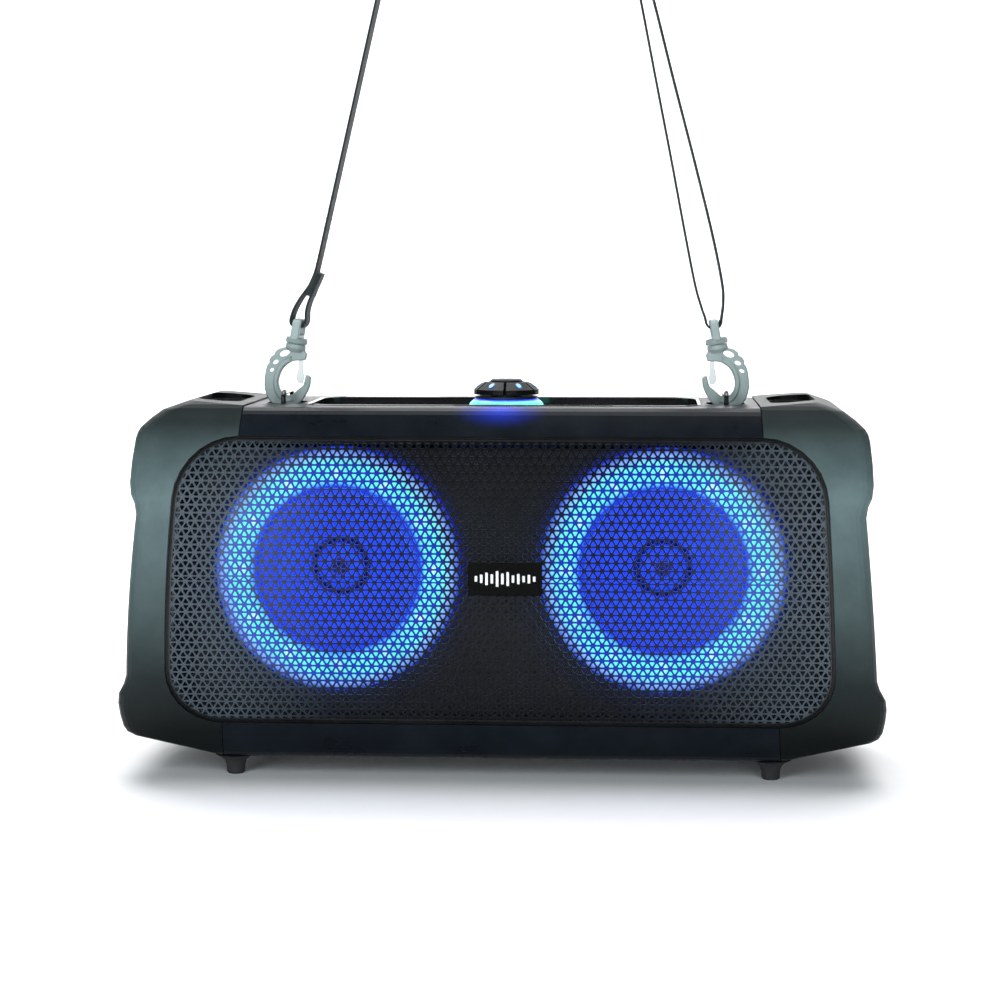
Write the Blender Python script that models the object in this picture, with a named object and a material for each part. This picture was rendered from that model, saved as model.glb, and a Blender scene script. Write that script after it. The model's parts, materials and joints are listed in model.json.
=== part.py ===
"""A portable party speaker with two light-ringed woofers, moulded end caps and a clip-on shoulder strap.

The front faces -Y, +Z is up, and the four feet stand on z = 0. Every size is in metres.
"""
import math

import bmesh
import bpy
from mathutils import Matrix, Vector

# Driving dimensions
OVERALL_WIDTH = 0.4826
BODY_HEIGHT = 0.2235
BODY_DEPTH = 0.1870
FOOT_HEIGHT = 0.0130
FRONT_RADIUS = 0.195
BACK_RADIUS = 0.400
WALL = 0.0030
GAP = 0.0004

# End caps
CAP_EDGE = 0.0075
CAP_RISE = 0.0037
PEAK_INSET = 0.0433
RECESS_DEPTH = 0.0150
TOP_EDGE = 0.0045
BOTTOM_EDGE = 0.0065
GRIP_WIDTH = 0.0290
GRIP_LENGTH = 0.0840
GRIP_WALL = 0.0020
GRIP_OFFSET = 0.0573
GRIP_DEPTH = 0.0225

# Grille opening
OPENING_TOP_MARGIN = 0.0175
OPENING_BOTTOM_MARGIN = 0.0250
OPENING_SIDE_TOP = 0.0400
OPENING_SIDE_BOTTOM = 0.0311
CORNER_TOP = 0.0380
CORNER_BOTTOM = 0.0352
GRILLE_RECESS = 0.0028
GRILLE_THICKNESS = 0.0012
SHADOW_GAP = 0.0018
FRAME_OVERLAP = 0.0050
FRAME_THICKNESS = 0.0024
BADGE_WIDTH = 0.0455
BADGE_HEIGHT = 0.0208
BADGE_SHIFT = 0.0050
BADGE_RISE = 0.0084

# Inner box
BOX_SIDE = 0.0330
BOX_WALL = 0.0030
BAFFLE_THICKNESS = 0.0060
BAFFLE_SETBACK = 0.0030
TOP_MODULE_HEIGHT = 0.0258

# Woofers and light rings
WOOFER_SPREAD = -0.0007
WOOFER_RISE = 0.0067
RING_OUTER = 0.0770
RING_INNER = 0.0525
RING_HEIGHT = 0.0125
FLANGE_RADIUS = 0.0495
FLANGE_THICKNESS = 0.0025
FLANGE_INNER = 0.0435
BASKET_RADIUS = 0.0445
BASKET_DEPTH = 0.0320
CONE_RADIUS = 0.0383
CAP_RADIUS = 0.0175
COIL_RADIUS = 0.0125
MAGNET_RADIUS = 0.0300
MAGNET_DEPTH = 0.0500

# Top
PANEL_THICKNESS = 0.0100
BEZEL_LIP = 0.0120
TRAY_LENGTH = 0.2530
TRAY_FRONT_INSET = 0.0045
TRAY_BACK_INSET = 0.0160
TRAY_DEPTH = 0.0070
TRAY_CORNER = 0.0200
TRIM_WIDTH = 0.0022
TRIM_PROUD = 0.0008
MAT_THICKNESS = 0.0010

# Control dome
DOME_RING_RADIUS = 0.0242
DOME_RING_TOP = 0.0205
DOME_RING_HEIGHT = 0.0088
DOME_STEM_RADIUS = 0.0110
KEY_COUNT = 6
KEY_OUTER = 0.0212
KEY_INNER = 0.0118
KEY_SKIRT = 0.0036
KEY_HEIGHT = 0.0080
KEY_SPACING = 0.0016
KEY_TRAVEL = 0.0008
POWER_RADIUS = 0.0106

# Strap hardware
ANCHOR_SPREAD = 0.1420
ANCHOR_HEIGHT = 0.0090
ANCHOR_WIDTH = 0.0430
ANCHOR_BAR = 0.0036
ANCHOR_THICKNESS = 0.0030
ANCHOR_ROOT = 0.0060
HOOK_REST = 0.0012
POCKET_LENGTH = 0.0340
POCKET_WIDTH = 0.0250
POCKET_DEPTH = 0.0070
HOOK_TILT = math.radians(9.6)
HOOK_WEB = 0.0046
HOOK_RIM = 0.0070
COLLAR_BASE = 0.0310
COLLAR_SPLIT = 0.0344
COLLAR_TOP = 0.0385
COLLAR_RADIUS = 0.0068
EYE_TOP = 0.0505
EYE_BAND = 0.0055
EYE_WIDTH = 0.0300
EYE_THICKNESS = 0.0033
STRAP_WIDTH = 0.0200
STRAP_THICKNESS = 0.0014

# Back
IO_WIDTH = 0.1040
IO_HEIGHT = 0.0540
IO_CENTRE_UP = 0.1040
FLAP_THICKNESS = 0.0024
PORT_X = -0.1100
PORT_RADIUS = 0.0170
PORT_WALL = 0.0020
PORT_FLARE = 0.0060
PORT_LENGTH = 0.0650

# Feet
FOOT_X = 0.0700
FOOT_FRONT_INSET = 0.0150
FOOT_BACK_INSET = 0.0170
FOOT_TIP = 0.0058
FOOT_TOP = 0.0130

HALF_WIDTH = OVERALL_WIDTH / 2
BOTTOM = FOOT_HEIGHT
TOP = FOOT_HEIGHT + BODY_HEIGHT
MIDDLE = (BOTTOM + TOP) / 2
PEAK = TOP + CAP_RISE
CROWN = -BODY_DEPTH / 2
OPENING_LOW = BOTTOM + OPENING_BOTTOM_MARGIN
OPENING_HIGH = TOP - OPENING_TOP_MARGIN


# ---------------------------------------------------------------- shape of the body

def front_y(z, inset=0.0):
    """The convex front at height z, moved inwards by inset."""
    drop = z - MIDDLE
    return CROWN + FRONT_RADIUS - math.sqrt((FRONT_RADIUS - inset) ** 2 - drop ** 2)


def back_y(z, inset=0.0):
    """The slightly convex back at height z, moved inwards by inset."""
    drop = z - MIDDLE
    return -CROWN - BACK_RADIUS + math.sqrt((BACK_RADIUS - inset) ** 2 - drop ** 2)


def edge_inset(z, low, high, low_radius, high_radius):
    """How far a rounded top or bottom edge pulls the surface in at height z."""
    inset = 0.0
    if z > high - high_radius:
        over = min(z - (high - high_radius), high_radius)
        inset = high_radius - math.sqrt(high_radius ** 2 - over ** 2)
    elif z < low + low_radius:
        over = min((low + low_radius) - z, low_radius)
        inset = low_radius - math.sqrt(low_radius ** 2 - over ** 2)
    return inset


def between(points, z):
    """x on a chain of (x, z) points at height z."""
    for (xa, za), (xb, zb) in zip(points, points[1:]):
        if za <= z <= zb:
            share = 0.0 if zb == za else (z - za) / (zb - za)
            return xa + (xb - xa) * share
    return points[-1][0] if z > points[-1][1] else points[0][0]


def cap_outline():
    """The outer side of an end cap, from underside to shoulder: flat, slope, lobe, relief, shoulder."""
    low = [(0.0660, 0.0), (0.0080, 0.0146), (0.0036, 0.0172), (0.0016, 0.0212), (0.0004, 0.0290),
           (0.0, 0.0370), (0.0010, 0.0435), (0.0048, 0.0500), (0.0068, 0.0560)]
    high = [(0.0150, 0.0658), (0.0138, 0.0593), (0.0112, 0.0538), (0.0102, 0.0463), (0.0106, 0.0338),
            (0.0118, 0.0200), (0.0128, 0.0158), (0.0150, 0.0120), (0.0206, 0.0070), (0.0276, 0.0018)]
    points = [(HALF_WIDTH - inset, BOTTOM + rise) for inset, rise in low]
    points += [(HALF_WIDTH - inset, TOP - drop) for inset, drop in high]
    points.append((HALF_WIDTH - PEAK_INSET, PEAK))
    return points


def cap_cavity_outline():
    """The inner side of an end cap, one wall inside the relief."""
    side = RECESS_DEPTH + WALL
    return [(HALF_WIDTH - 0.0680, BOTTOM + WALL), (HALF_WIDTH - 0.0150, BOTTOM + WALL + 0.0118),
            (HALF_WIDTH - 0.0085, BOTTOM + 0.0260), (HALF_WIDTH - 0.0085, BOTTOM + 0.0560),
            (HALF_WIDTH - side, TOP - 0.0658), (HALF_WIDTH - side, TOP - 0.0160),
            (HALF_WIDTH - side - 0.0060, TOP - 0.0120), (HALF_WIDTH - 0.0370, TOP - WALL)]


def opening_side(z, grow=0.0):
    """Half width of the grille opening at height z, with its round corners, grown outwards by grow."""
    low = OPENING_LOW - grow
    high = OPENING_HIGH + grow
    share = (OPENING_HIGH - z) / (OPENING_HIGH - OPENING_LOW)
    inset = OPENING_SIDE_TOP + (OPENING_SIDE_BOTTOM - OPENING_SIDE_TOP) * share
    x = HALF_WIDTH - inset + grow
    top_radius = CORNER_TOP + grow
    bottom_radius = CORNER_BOTTOM + grow
    if z > high - top_radius:
        over = min(z - (high - top_radius), top_radius)
        x -= top_radius - math.sqrt(top_radius ** 2 - over ** 2)
    elif z < low + bottom_radius:
        over = min((low + bottom_radius) - z, bottom_radius)
        x -= bottom_radius - math.sqrt(bottom_radius ** 2 - over ** 2)
    return x


def seam_x(z):
    """Where an end cap meets the pieces between the caps: the ends of the opening's straight edges."""
    top = HALF_WIDTH - OPENING_SIDE_TOP - CORNER_TOP
    bottom = HALF_WIDTH - OPENING_SIDE_BOTTOM - CORNER_BOTTOM
    share = (z - OPENING_LOW) / (OPENING_HIGH - OPENING_LOW)
    return bottom + (top - bottom) * share


# ---------------------------------------------------------------- tools

def arc(centre, radius, start, end, steps):
    """Points on an arc in a plane, angles in degrees, both ends included."""
    points = []
    for i in range(steps + 1):
        angle = math.radians(start + (end - start) * i / steps)
        points.append((centre[0] + radius * math.cos(angle), centre[1] + radius * math.sin(angle)))
    return points


def rounded_rect(width, height, radius, steps=4, centre=(0.0, 0.0)):
    """A rectangle with round corners, counter-clockwise."""
    cx, cy = centre
    dx = width / 2 - radius
    dy = height / 2 - radius
    points = arc((cx + dx, cy - dy), radius, -90, 0, steps)
    points += arc((cx + dx, cy + dy), radius, 0, 90, steps)
    points += arc((cx - dx, cy + dy), radius, 90, 180, steps)
    points += arc((cx - dx, cy - dy), radius, 180, 270, steps)
    return points


def inset_outline(points, distance):
    """A closed counter-clockwise outline moved inwards by distance."""
    moved = []
    count = len(points)
    for i in range(count):
        a = Vector(points[i - 1])
        b = Vector(points[i])
        c = Vector(points[(i + 1) % count])
        first = (b - a).normalized()
        second = (c - b).normalized()
        normal = Vector((-first.y - second.y, first.x + second.x)).normalized()
        lean = max(normal.dot(Vector((-first.y, first.x))), 0.5)
        moved.append(tuple(b + normal * (distance / lean)))
    return moved


def smooth_curve(points, steps):
    """Points on a smooth open curve through the given points."""
    ends = [points[0]] + list(points) + [points[-1]]
    curve = []
    for i in range(1, len(ends) - 2):
        p0, p1, p2, p3 = (Vector(p) for p in ends[i - 1:i + 3])
        for k in range(steps):
            t = k / steps
            a = 2 * p1 + (p2 - p0) * t
            b = (2 * p0 - 5 * p1 + 4 * p2 - p3) * t ** 2
            c = (3 * p1 - p0 - 3 * p2 + p3) * t ** 3
            curve.append(tuple((a + b + c) / 2))
    curve.append(tuple(points[-1]))
    return curve


def material(name, colour, roughness, metallic=0.0):
    made = bpy.data.materials.new(name)
    made.use_nodes = True
    shader = made.node_tree.nodes["Principled BSDF"]
    shader.inputs["Base Color"].default_value = (*colour, 1.0)
    shader.inputs["Roughness"].default_value = roughness
    shader.inputs["Metallic"].default_value = metallic
    made.diffuse_color = (*colour, 1.0)
    return made


def add_object(name, bm, finish, origin=(0.0, 0.0, 0.0)):
    """Turns a closed bmesh into an object whose origin is at the given point."""
    bmesh.ops.remove_doubles(bm, verts=bm.verts, dist=1e-6)
    bmesh.ops.recalc_face_normals(bm, faces=bm.faces)
    bmesh.ops.translate(bm, verts=bm.verts, vec=-Vector(origin))
    mesh = bpy.data.meshes.new(name)
    bm.to_mesh(mesh)
    bm.free()
    mesh.shade_smooth()
    mesh.set_sharp_from_angle(angle=math.radians(32))
    obj = bpy.data.objects.new(name, mesh)
    obj.location = origin
    bpy.context.scene.collection.objects.link(obj)
    if finish:
        mesh.materials.append(finish)
    return obj


def loft(name, loops, finish, ring=False, origin=(0.0, 0.0, 0.0)):
    """A solid through matching loops of points; ring joins the last loop to the first."""
    bm = bmesh.new()
    rows = [[bm.verts.new(p) for p in loop] for loop in loops]
    pairs = list(zip(rows, rows[1:]))
    if ring:
        pairs.append((rows[-1], rows[0]))
    for lower, upper in pairs:
        for i in range(len(lower)):
            k = (i + 1) % len(lower)
            bm.faces.new((lower[i], lower[k], upper[k], upper[i]))
    if not ring:
        bm.faces.new(list(reversed(rows[0])))
        bm.faces.new(rows[-1])
    return add_object(name, bm, finish, origin)


AXES = {"x": lambda a, b, h: (h, a, b), "y": lambda a, b, h: (a, h, b), "z": lambda a, b, h: (a, b, h)}


def prism(name, outline, axis, low, high, finish, edge=0.0, edge_steps=1, origin=(0.0, 0.0, 0.0)):
    """An outline pushed along an axis. For x it lies in (y, z), for y in (x, z), for z in (x, y)."""
    levels = [(low, 0.0), (high, 0.0)]
    if edge:
        levels = []
        for i in range(edge_steps + 1):
            angle = math.pi / 2 * i / edge_steps
            levels.append((low + edge * (1 - math.sin(angle)), edge * (1 - math.cos(angle))))
        levels = levels[::-1] + [(low + high - h, inset) for h, inset in levels]
    place = AXES[axis]
    loops = []
    for height, inset in levels:
        shape = inset_outline(outline, inset) if inset else outline
        loops.append([place(a, b, height) for a, b in shape])
    return loft(name, loops, finish, origin=origin)


def turned(name, profile, centre, axis, finish, segments=32, origin=None):
    """A closed (radius, height) profile spun once round an axis through centre."""
    bm = bmesh.new()
    verts = [bm.verts.new((r, 0.0, h)) for r, h in profile]
    edges = [bm.edges.new((verts[i], verts[(i + 1) % len(verts)])) for i in range(len(verts))
             if max(profile[i][0], profile[(i + 1) % len(verts)][0]) > 0]
    bmesh.ops.spin(bm, geom=verts + edges, cent=(0, 0, 0), axis=(0, 0, 1), angle=2 * math.pi,
                   steps=segments, use_merge=True)
    spins = {"z": Matrix.Identity(4), "y": Matrix.Rotation(-math.pi / 2, 4, "X")}
    bmesh.ops.transform(bm, matrix=Matrix.Translation(centre) @ spins[axis], verts=bm.verts)
    return add_object(name, bm, finish, origin or (0.0, 0.0, 0.0))


def boolean(target, tool, operation="DIFFERENCE"):
    """Cuts the tool out of the target, or joins it on."""
    change = target.modifiers.new(tool.name, "BOOLEAN")
    change.operation = operation
    change.solver = "EXACT"
    change.object = tool
    tool.hide_render = True
    tool.display_type = "WIRE"


def span(name, outline, finish):
    """A (y, z) outline between the two end caps, its ends following the seams."""
    loops = []
    for side in (-1, 1):
        loops.append([(side * (seam_x(z) - GAP / 2), y, z) for y, z in outline])
    return loft(name, loops, finish)


def mirrored(outline, side):
    return [(side * x, z) for x, z in outline]


SIDES = (("left", -1), ("right", 1))


# ---------------------------------------------------------------- shells

def body_levels(low, high, low_edge, high_edge, extra):
    """Heights at which a shell's section is taken: rounded edges, outline corners, even steps."""
    levels = {low, high}
    for share in (0.0, 0.134, 0.5, 1.0):
        levels.add(low + low_edge * share)
        levels.add(high - high_edge * share)
    levels.update(z for z in extra if low <= z <= high)
    steps = 14
    levels.update(low + (high - low) * i / steps for i in range(steps))
    ordered = sorted(levels)
    kept = [ordered[0]]
    for z in ordered[1:-1]:
        if z - kept[-1] > 0.0006 and ordered[-1] - z > 0.0002:
            kept.append(z)
    return kept + [ordered[-1]]


def cap_section(z, side, outline, x_inner, inset, edges):
    """One level of an end cap, seen from above."""
    pull = edge_inset(z, *edges) if edges else 0.0
    x_outer = between(outline, z)
    y_front = front_y(z, inset) + pull
    y_back = back_y(z, inset) - pull
    radius = min(CAP_EDGE - inset, (x_outer - x_inner) * 0.45)
    points = [(x_inner, y_front)]
    points += arc((x_outer - radius, y_front + radius), radius, -90, 0, 4)
    points += arc((x_outer - radius, y_back - radius), radius, 0, 90, 4)
    points.append((x_inner, y_back))
    return [(side * x, y, z) for x, y in points]


def end_cap(name, side, finish):
    """One moulded end shell, open towards the middle."""
    outline = cap_outline()
    edges = (BOTTOM, PEAK, BOTTOM_EDGE, TOP_EDGE)
    levels = body_levels(BOTTOM, PEAK, BOTTOM_EDGE, TOP_EDGE, [z for _, z in outline])
    loops = [cap_section(z, side, outline, seam_x(z) + GAP / 2, 0.0, edges) for z in levels]
    cap = loft(name, loops, finish)

    inner = cap_cavity_outline()
    low, high = inner[0][1], inner[-1][1]
    levels = body_levels(low, high, 0.002, 0.002, [z for _, z in inner])
    loops = [cap_section(z, side, inner, seam_x(z) - 0.02, WALL, None) for z in levels]
    boolean(cap, loft(name + "_cavity", loops, None))
    boolean(cap, opening_cutter())
    x_grip = HALF_WIDTH - GRIP_OFFSET
    hole = rounded_rect(GRIP_WIDTH, GRIP_LENGTH, GRIP_WIDTH / 2 - 0.0002, 6, (side * x_grip, grip_y()))
    boolean(cap, prism(name + "_grip_hole", hole, "z", TOP - WALL - 0.004, PEAK + 0.01, None))
    dip = [(HALF_WIDTH - PEAK_INSET, PEAK + 0.0001), (HALF_WIDTH - PEAK_INSET, PEAK + 0.01),
           (seam_x(TOP) - 0.01, PEAK + 0.01), (seam_x(TOP) - 0.01, TOP + 0.0002)]
    boolean(cap, prism(name + "_dip", mirrored(dip, side), "y", CROWN - 0.01, -CROWN + 0.01, None))
    return cap


def grip_y():
    """Centre of the flat top, front to back."""
    return (front_y(TOP) + back_y(TOP)) / 2


def grip_cup(name, side, finish):
    """The cup of a hand grip, let into the end cap's top."""
    x_grip = side * (HALF_WIDTH - GRIP_OFFSET)
    width = GRIP_WIDTH - 2 * GAP
    length = GRIP_LENGTH - 2 * GAP
    outer = rounded_rect(width, length, width / 2 - 0.0002, 6, (x_grip, grip_y()))
    inner = inset_outline(outer, GRIP_WALL)
    floor = TOP - GRIP_DEPTH
    loops = []
    for shape, z in ((outer, floor), (outer, TOP - 0.0004), (inner, TOP - 0.0004),
                     (inner, floor + GRIP_WALL)):
        loops.append([(x, y, z) for x, y in shape])
    return loft(name, loops, finish)


_cutters = {}


def opening_cutter():
    """The grille opening through the front walls, made once and shared."""
    if "opening" not in _cutters:
        _cutters["opening"] = opening_solid("opening_cutter", 0.0, None, WALL + 0.006, cut=True)
    return _cutters["opening"]


def opening_levels(low, high, low_radius, high_radius):
    levels = [low + low_radius * (1 - math.cos(math.pi / 2 * i / 7)) for i in range(8)]
    levels += [high - high_radius * (1 - math.cos(math.pi / 2 * i / 7)) for i in range(7, -1, -1)]
    first, last = levels[7], levels[8]
    middle = [first + (last - first) * i / 9 for i in range(1, 9)]
    return levels[:8] + middle + levels[8:]


def opening_solid(name, grow, finish, back_inset, front_inset=0.0, cut=False):
    """A convex plate with the opening's outline. As a cutter it starts in front of the body."""
    low = OPENING_LOW - grow
    high = OPENING_HIGH + grow
    loops = []
    for z in opening_levels(low, high, CORNER_BOTTOM + grow, CORNER_TOP + grow):
        x = opening_side(z, grow)
        front = CROWN - 0.02 if cut else front_y(z, front_inset)
        back = front_y(z, back_inset)
        loops.append([(-x, front, z), (x, front, z), (x, back, z), (-x, back, z)])
    return loft(name, loops, finish)


def lip_back():
    """Where the bezels end and the top panel and base plate begin."""
    return front_y(TOP) + BEZEL_LIP


def top_bezel(finish):
    edge = TOP_EDGE
    heights = [OPENING_HIGH + (TOP - edge - OPENING_HIGH) * i / 4 for i in range(5)]
    heights += [TOP - edge * (1 - math.sin(math.radians(a))) for a in (30, 60, 90)]
    outer = [(front_y(z) + edge_inset(z, BOTTOM, TOP, edge, edge), z) for z in heights]
    inner = [(front_y(z, WALL), z) for z in (TOP - WALL, OPENING_HIGH + 0.007, OPENING_HIGH)]
    return span("top_bezel", outer + [(lip_back(), TOP), (lip_back(), TOP - WALL)] + inner, finish)


def bottom_bezel(finish):
    edge = BOTTOM_EDGE
    heights = [OPENING_LOW + (BOTTOM + edge - OPENING_LOW) * i / 4 for i in range(5)]
    heights += [BOTTOM + edge * (1 - math.sin(math.radians(a))) for a in (22, 45, 68, 90)]
    outer = [(front_y(z) + edge_inset(z, BOTTOM, TOP, edge, edge), z) for z in heights]
    inner = [(front_y(z, WALL), z) for z in (BOTTOM + WALL, OPENING_LOW - 0.010, OPENING_LOW)]
    outline = outer + [(lip_back(), BOTTOM), (lip_back(), BOTTOM + WALL)] + inner
    return span("bottom_bezel", outline, finish)


def base_plate(finish):
    back = back_y(BOTTOM)
    outline = [(lip_back() + GAP, BOTTOM), (back - 0.003, BOTTOM), (back_y(BOTTOM + WALL), BOTTOM + WALL),
               (lip_back() + GAP, BOTTOM + WALL)]
    return span("base_plate", outline, finish)


def io_centre():
    return BOTTOM + IO_CENTRE_UP


def rear_cover(finish):
    low = BOTTOM + WALL + GAP
    high = TOP - PANEL_THICKNESS - GAP
    heights = [low + (high - low) * i / 14 for i in range(15)]
    outline = [(back_y(z), z) for z in heights] + [(back_y(z, WALL), z) for z in reversed(heights)]
    cover = span("rear_cover", outline, finish)
    hole = rounded_rect(IO_WIDTH, IO_HEIGHT, 0.0006, 1, (0.0, io_centre()))
    boolean(cover, prism("io_hole", hole, "y", -CROWN - 0.03, -CROWN + 0.01, None))
    profile = disc(PORT_RADIUS + PORT_FLARE + GAP, 0.0, 0.06)
    boolean(cover, turned("port_hole", profile, (PORT_X, box_back() - 0.01, port_z()), "y", None))
    return cover


# ---------------------------------------------------------------- inner box

def box_outline(inset=0.0):
    """The inner box seen from the front, its lower corners cut to clear the sloping undersides."""
    half = HALF_WIDTH - BOX_SIDE - inset
    low = BOTTOM + WALL + GAP + inset
    high = TOP - TOP_MODULE_HEIGHT - inset
    slope = HALF_WIDTH - 0.0735 - inset
    return [(-slope, low), (slope, low), (half, low + 0.0110), (half, high), (-half, high),
            (-half, low + 0.0110)]


def baffle_front():
    return front_y(TOP) + BAFFLE_SETBACK


def box_front():
    return baffle_front() + BAFFLE_THICKNESS + GAP


def box_back():
    return back_y(BOTTOM + WALL, WALL) - GAP


def woofer_x():
    return opening_side((OPENING_LOW + OPENING_HIGH) / 2) / 2 + WOOFER_SPREAD


def woofer_z():
    return (OPENING_LOW + OPENING_HIGH) / 2 + WOOFER_RISE


def port_z():
    return io_centre()


def disc(radius, low, high):
    """Profile of a plain cylinder between two heights."""
    return [(0.0, low), (radius, low), (radius, high), (0.0, high)]


def cabinet(finish):
    box = prism("cabinet", box_outline(), "y", box_front(), box_back(), finish)
    boolean(box, prism("cabinet_inside", box_outline(BOX_WALL), "y", box_front() - 0.01,
                       box_back() - BOX_WALL, None))
    radius = PORT_RADIUS + PORT_WALL + GAP
    boolean(box, turned("cabinet_port_hole", disc(radius, -0.01, 0.01), (PORT_X, box_back(), port_z()),
                        "y", None, 24))
    return box


def front_baffle(finish):
    plate = prism("front_baffle", box_outline(), "y", baffle_front(), baffle_front() + BAFFLE_THICKNESS,
                  finish)
    for name, side in SIDES:
        profile = disc(BASKET_RADIUS + GAP, -0.01, 0.02)
        centre = (side * woofer_x(), baffle_front(), woofer_z())
        boolean(plate, turned("woofer_hole_" + name, profile, centre, "y", None, 40))
    return plate


# ---------------------------------------------------------------- woofers

def flange_front():
    return baffle_front() - GAP - FLANGE_THICKNESS


def woofer_axis(side):
    return (side * woofer_x(), flange_front(), woofer_z())


def woofer_frame(name, side, finish):
    inner_base = BASKET_DEPTH - 0.002
    profile = [(FLANGE_INNER, 0.0), (FLANGE_RADIUS, 0.0), (FLANGE_RADIUS, FLANGE_THICKNESS),
               (BASKET_RADIUS, FLANGE_THICKNESS), (BASKET_RADIUS - 0.002, 0.012), (0.0260, BASKET_DEPTH),
               (COIL_RADIUS + 0.002, BASKET_DEPTH), (COIL_RADIUS + 0.002, inner_base), (0.0245, inner_base),
               (BASKET_RADIUS - 0.004, 0.0105), (FLANGE_INNER, 0.004)]
    return turned(name, profile, woofer_axis(side), "y", finish, 32)


def woofer_magnet(name, side, finish):
    top = BASKET_DEPTH + GAP
    profile = [(0.0, 0.0235), (0.0108, 0.0235), (0.0108, top + 0.0022),
               (COIL_RADIUS + 0.0008, top + 0.0022),
               (COIL_RADIUS + 0.0008, top), (MAGNET_RADIUS, top), (MAGNET_RADIUS, MAGNET_DEPTH), (0.0,
                                                                                                  MAGNET_DEPTH)]
    return turned(name, profile, woofer_axis(side), "y", finish, 28)


def woofer_surround(name, side, finish):
    inner = CONE_RADIUS + GAP
    outer = FLANGE_INNER - GAP
    middle = (inner + outer) / 2
    bulge = (outer - inner) / 2
    profile = [(r, -h) for r, h in arc((middle, 0.0), bulge, 0, 180, 4)]
    profile += [(r, -h) for r, h in arc((middle, -0.0008), bulge - 0.0005, 180, 0, 3)]
    return turned(name, profile, woofer_axis(side), "y", finish, 32)


def woofer_cone(name, side, finish):
    """Cone, dust cap and voice coil former in one; it slides along its own axis."""
    slope = 0.635
    rim = 0.0008

    def front(r):
        return rim + (CONE_RADIUS - 0.0008 - r) * slope

    coil_inner = COIL_RADIUS - 0.0008
    dome_join = front(CAP_RADIUS)
    profile = [(0.0, dome_join - 0.0070), (0.006, dome_join - 0.0062), (0.0115, dome_join - 0.0040),
               (CAP_RADIUS, dome_join), (CONE_RADIUS - 0.0008, rim), (CONE_RADIUS, rim), (CONE_RADIUS,
                                                                                          rim + 0.0010),
               (COIL_RADIUS, front(COIL_RADIUS) + 0.0018), (COIL_RADIUS, 0.0305), (coil_inner, 0.0305),
               (coil_inner, front(coil_inner)), (CAP_RADIUS - 0.001, front(CAP_RADIUS - 0.001)),
               (0.0110, dome_join - 0.0030), (0.0058, dome_join - 0.0052), (0.0, dome_join - 0.0060)]
    return turned(name, profile, woofer_axis(side), "y", finish, 32, origin=woofer_axis(side))


def led_ring(name, side, finish):
    profile = [(RING_INNER, -GAP), (RING_OUTER, -GAP), (RING_OUTER, -RING_HEIGHT + 0.003),
               (RING_OUTER - 0.003, -RING_HEIGHT), (RING_INNER + 0.003, -RING_HEIGHT),
               (RING_INNER, -RING_HEIGHT + 0.003)]
    centre = (side * woofer_x(), baffle_front(), woofer_z())
    return turned(name, profile, centre, "y", finish, 48)


# ---------------------------------------------------------------- grille and badge

def grille(finish):
    return opening_solid("grille", -SHADOW_GAP, finish, GRILLE_RECESS + GRILLE_THICKNESS, GRILLE_RECESS)


def grille_frame(finish):
    front = max(GRILLE_RECESS + GRILLE_THICKNESS, WALL) + GAP
    frame = opening_solid("grille_frame", FRAME_OVERLAP, finish, front + FRAME_THICKNESS, front)
    boolean(frame, opening_solid("frame_window", -FRAME_OVERLAP, None, front + 0.01, cut=True))
    return frame


def badge_plate(finish):
    back = CROWN + GRILLE_RECESS - GAP
    shape = rounded_rect(BADGE_WIDTH, BADGE_HEIGHT, 0.0012, 3, (BADGE_SHIFT, MIDDLE + BADGE_RISE))
    return prism("badge_plate", shape, "y", CROWN + 0.0001, back, finish, 0.0004)


# ---------------------------------------------------------------- top

def tray_centre():
    front = lip_back() + GAP + TRAY_FRONT_INSET
    back = back_y(TOP) - TRAY_BACK_INSET
    return (front + back) / 2, back - front


def tray_shape(grow):
    centre, depth = tray_centre()
    return rounded_rect(TRAY_LENGTH + 2 * grow, depth + 2 * grow, TRAY_CORNER + grow, 6, (0.0, centre))


def tray_floor():
    return TOP - TRAY_DEPTH


def top_panel(finish):
    low = TOP - PANEL_THICKNESS
    edge = TOP_EDGE
    back = [(back_y(z) - edge_inset(z, BOTTOM, TOP, edge, edge), z)
            for z in (low, TOP - edge, TOP - edge / 2, TOP - edge * 0.134, TOP)]
    outline = [(lip_back() + GAP, TOP), (lip_back() + GAP, low)] + back
    panel = span("top_panel", outline, finish)
    boolean(panel, prism("tray_cutter", tray_shape(0.0), "z", tray_floor(), TOP + 0.01, None))
    centre, _ = tray_centre()
    hole = disc(DOME_STEM_RADIUS + GAP, -0.02, 0.01)
    boolean(panel, turned("stem_hole", hole, (0.0, centre, TOP), "z", None, 24))
    for name, side in SIDES:
        pocket = rounded_rect(POCKET_WIDTH, POCKET_LENGTH, POCKET_WIDTH / 2 - 0.0005, 6,
                              (side * ANCHOR_SPREAD, 0.0))
        boolean(panel, prism("pocket_" + name, pocket, "z", TOP - POCKET_DEPTH, TOP + 0.01, None))
        for end in (-1, 1):
            leg_y = end * (ANCHOR_WIDTH - ANCHOR_BAR) / 2
            socket = rounded_rect(ANCHOR_THICKNESS + 2 * GAP, ANCHOR_BAR + 2 * GAP, 0.0006, 1,
                                  (side * ANCHOR_SPREAD, leg_y))
            boolean(panel, prism(f"socket_{name}_{end}", socket, "z", TOP - ANCHOR_ROOT - GAP, TOP + 0.01,
                                 None))
    return panel


def tray_trim(finish):
    outer = tray_shape(-GAP)
    inner = inset_outline(outer, TRIM_WIDTH)
    low = tray_floor() + GAP
    high = TOP + TRIM_PROUD
    bevel = inset_outline(outer, 0.0007)
    loops = []
    for shape, z in ((outer, low), (outer, high - 0.0006), (bevel, high), (inner, high - 0.0006),
                     (inner, low)):
        loops.append([(x, y, z) for x, y in shape])
    return loft("tray_trim", loops, finish, ring=True)


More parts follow.
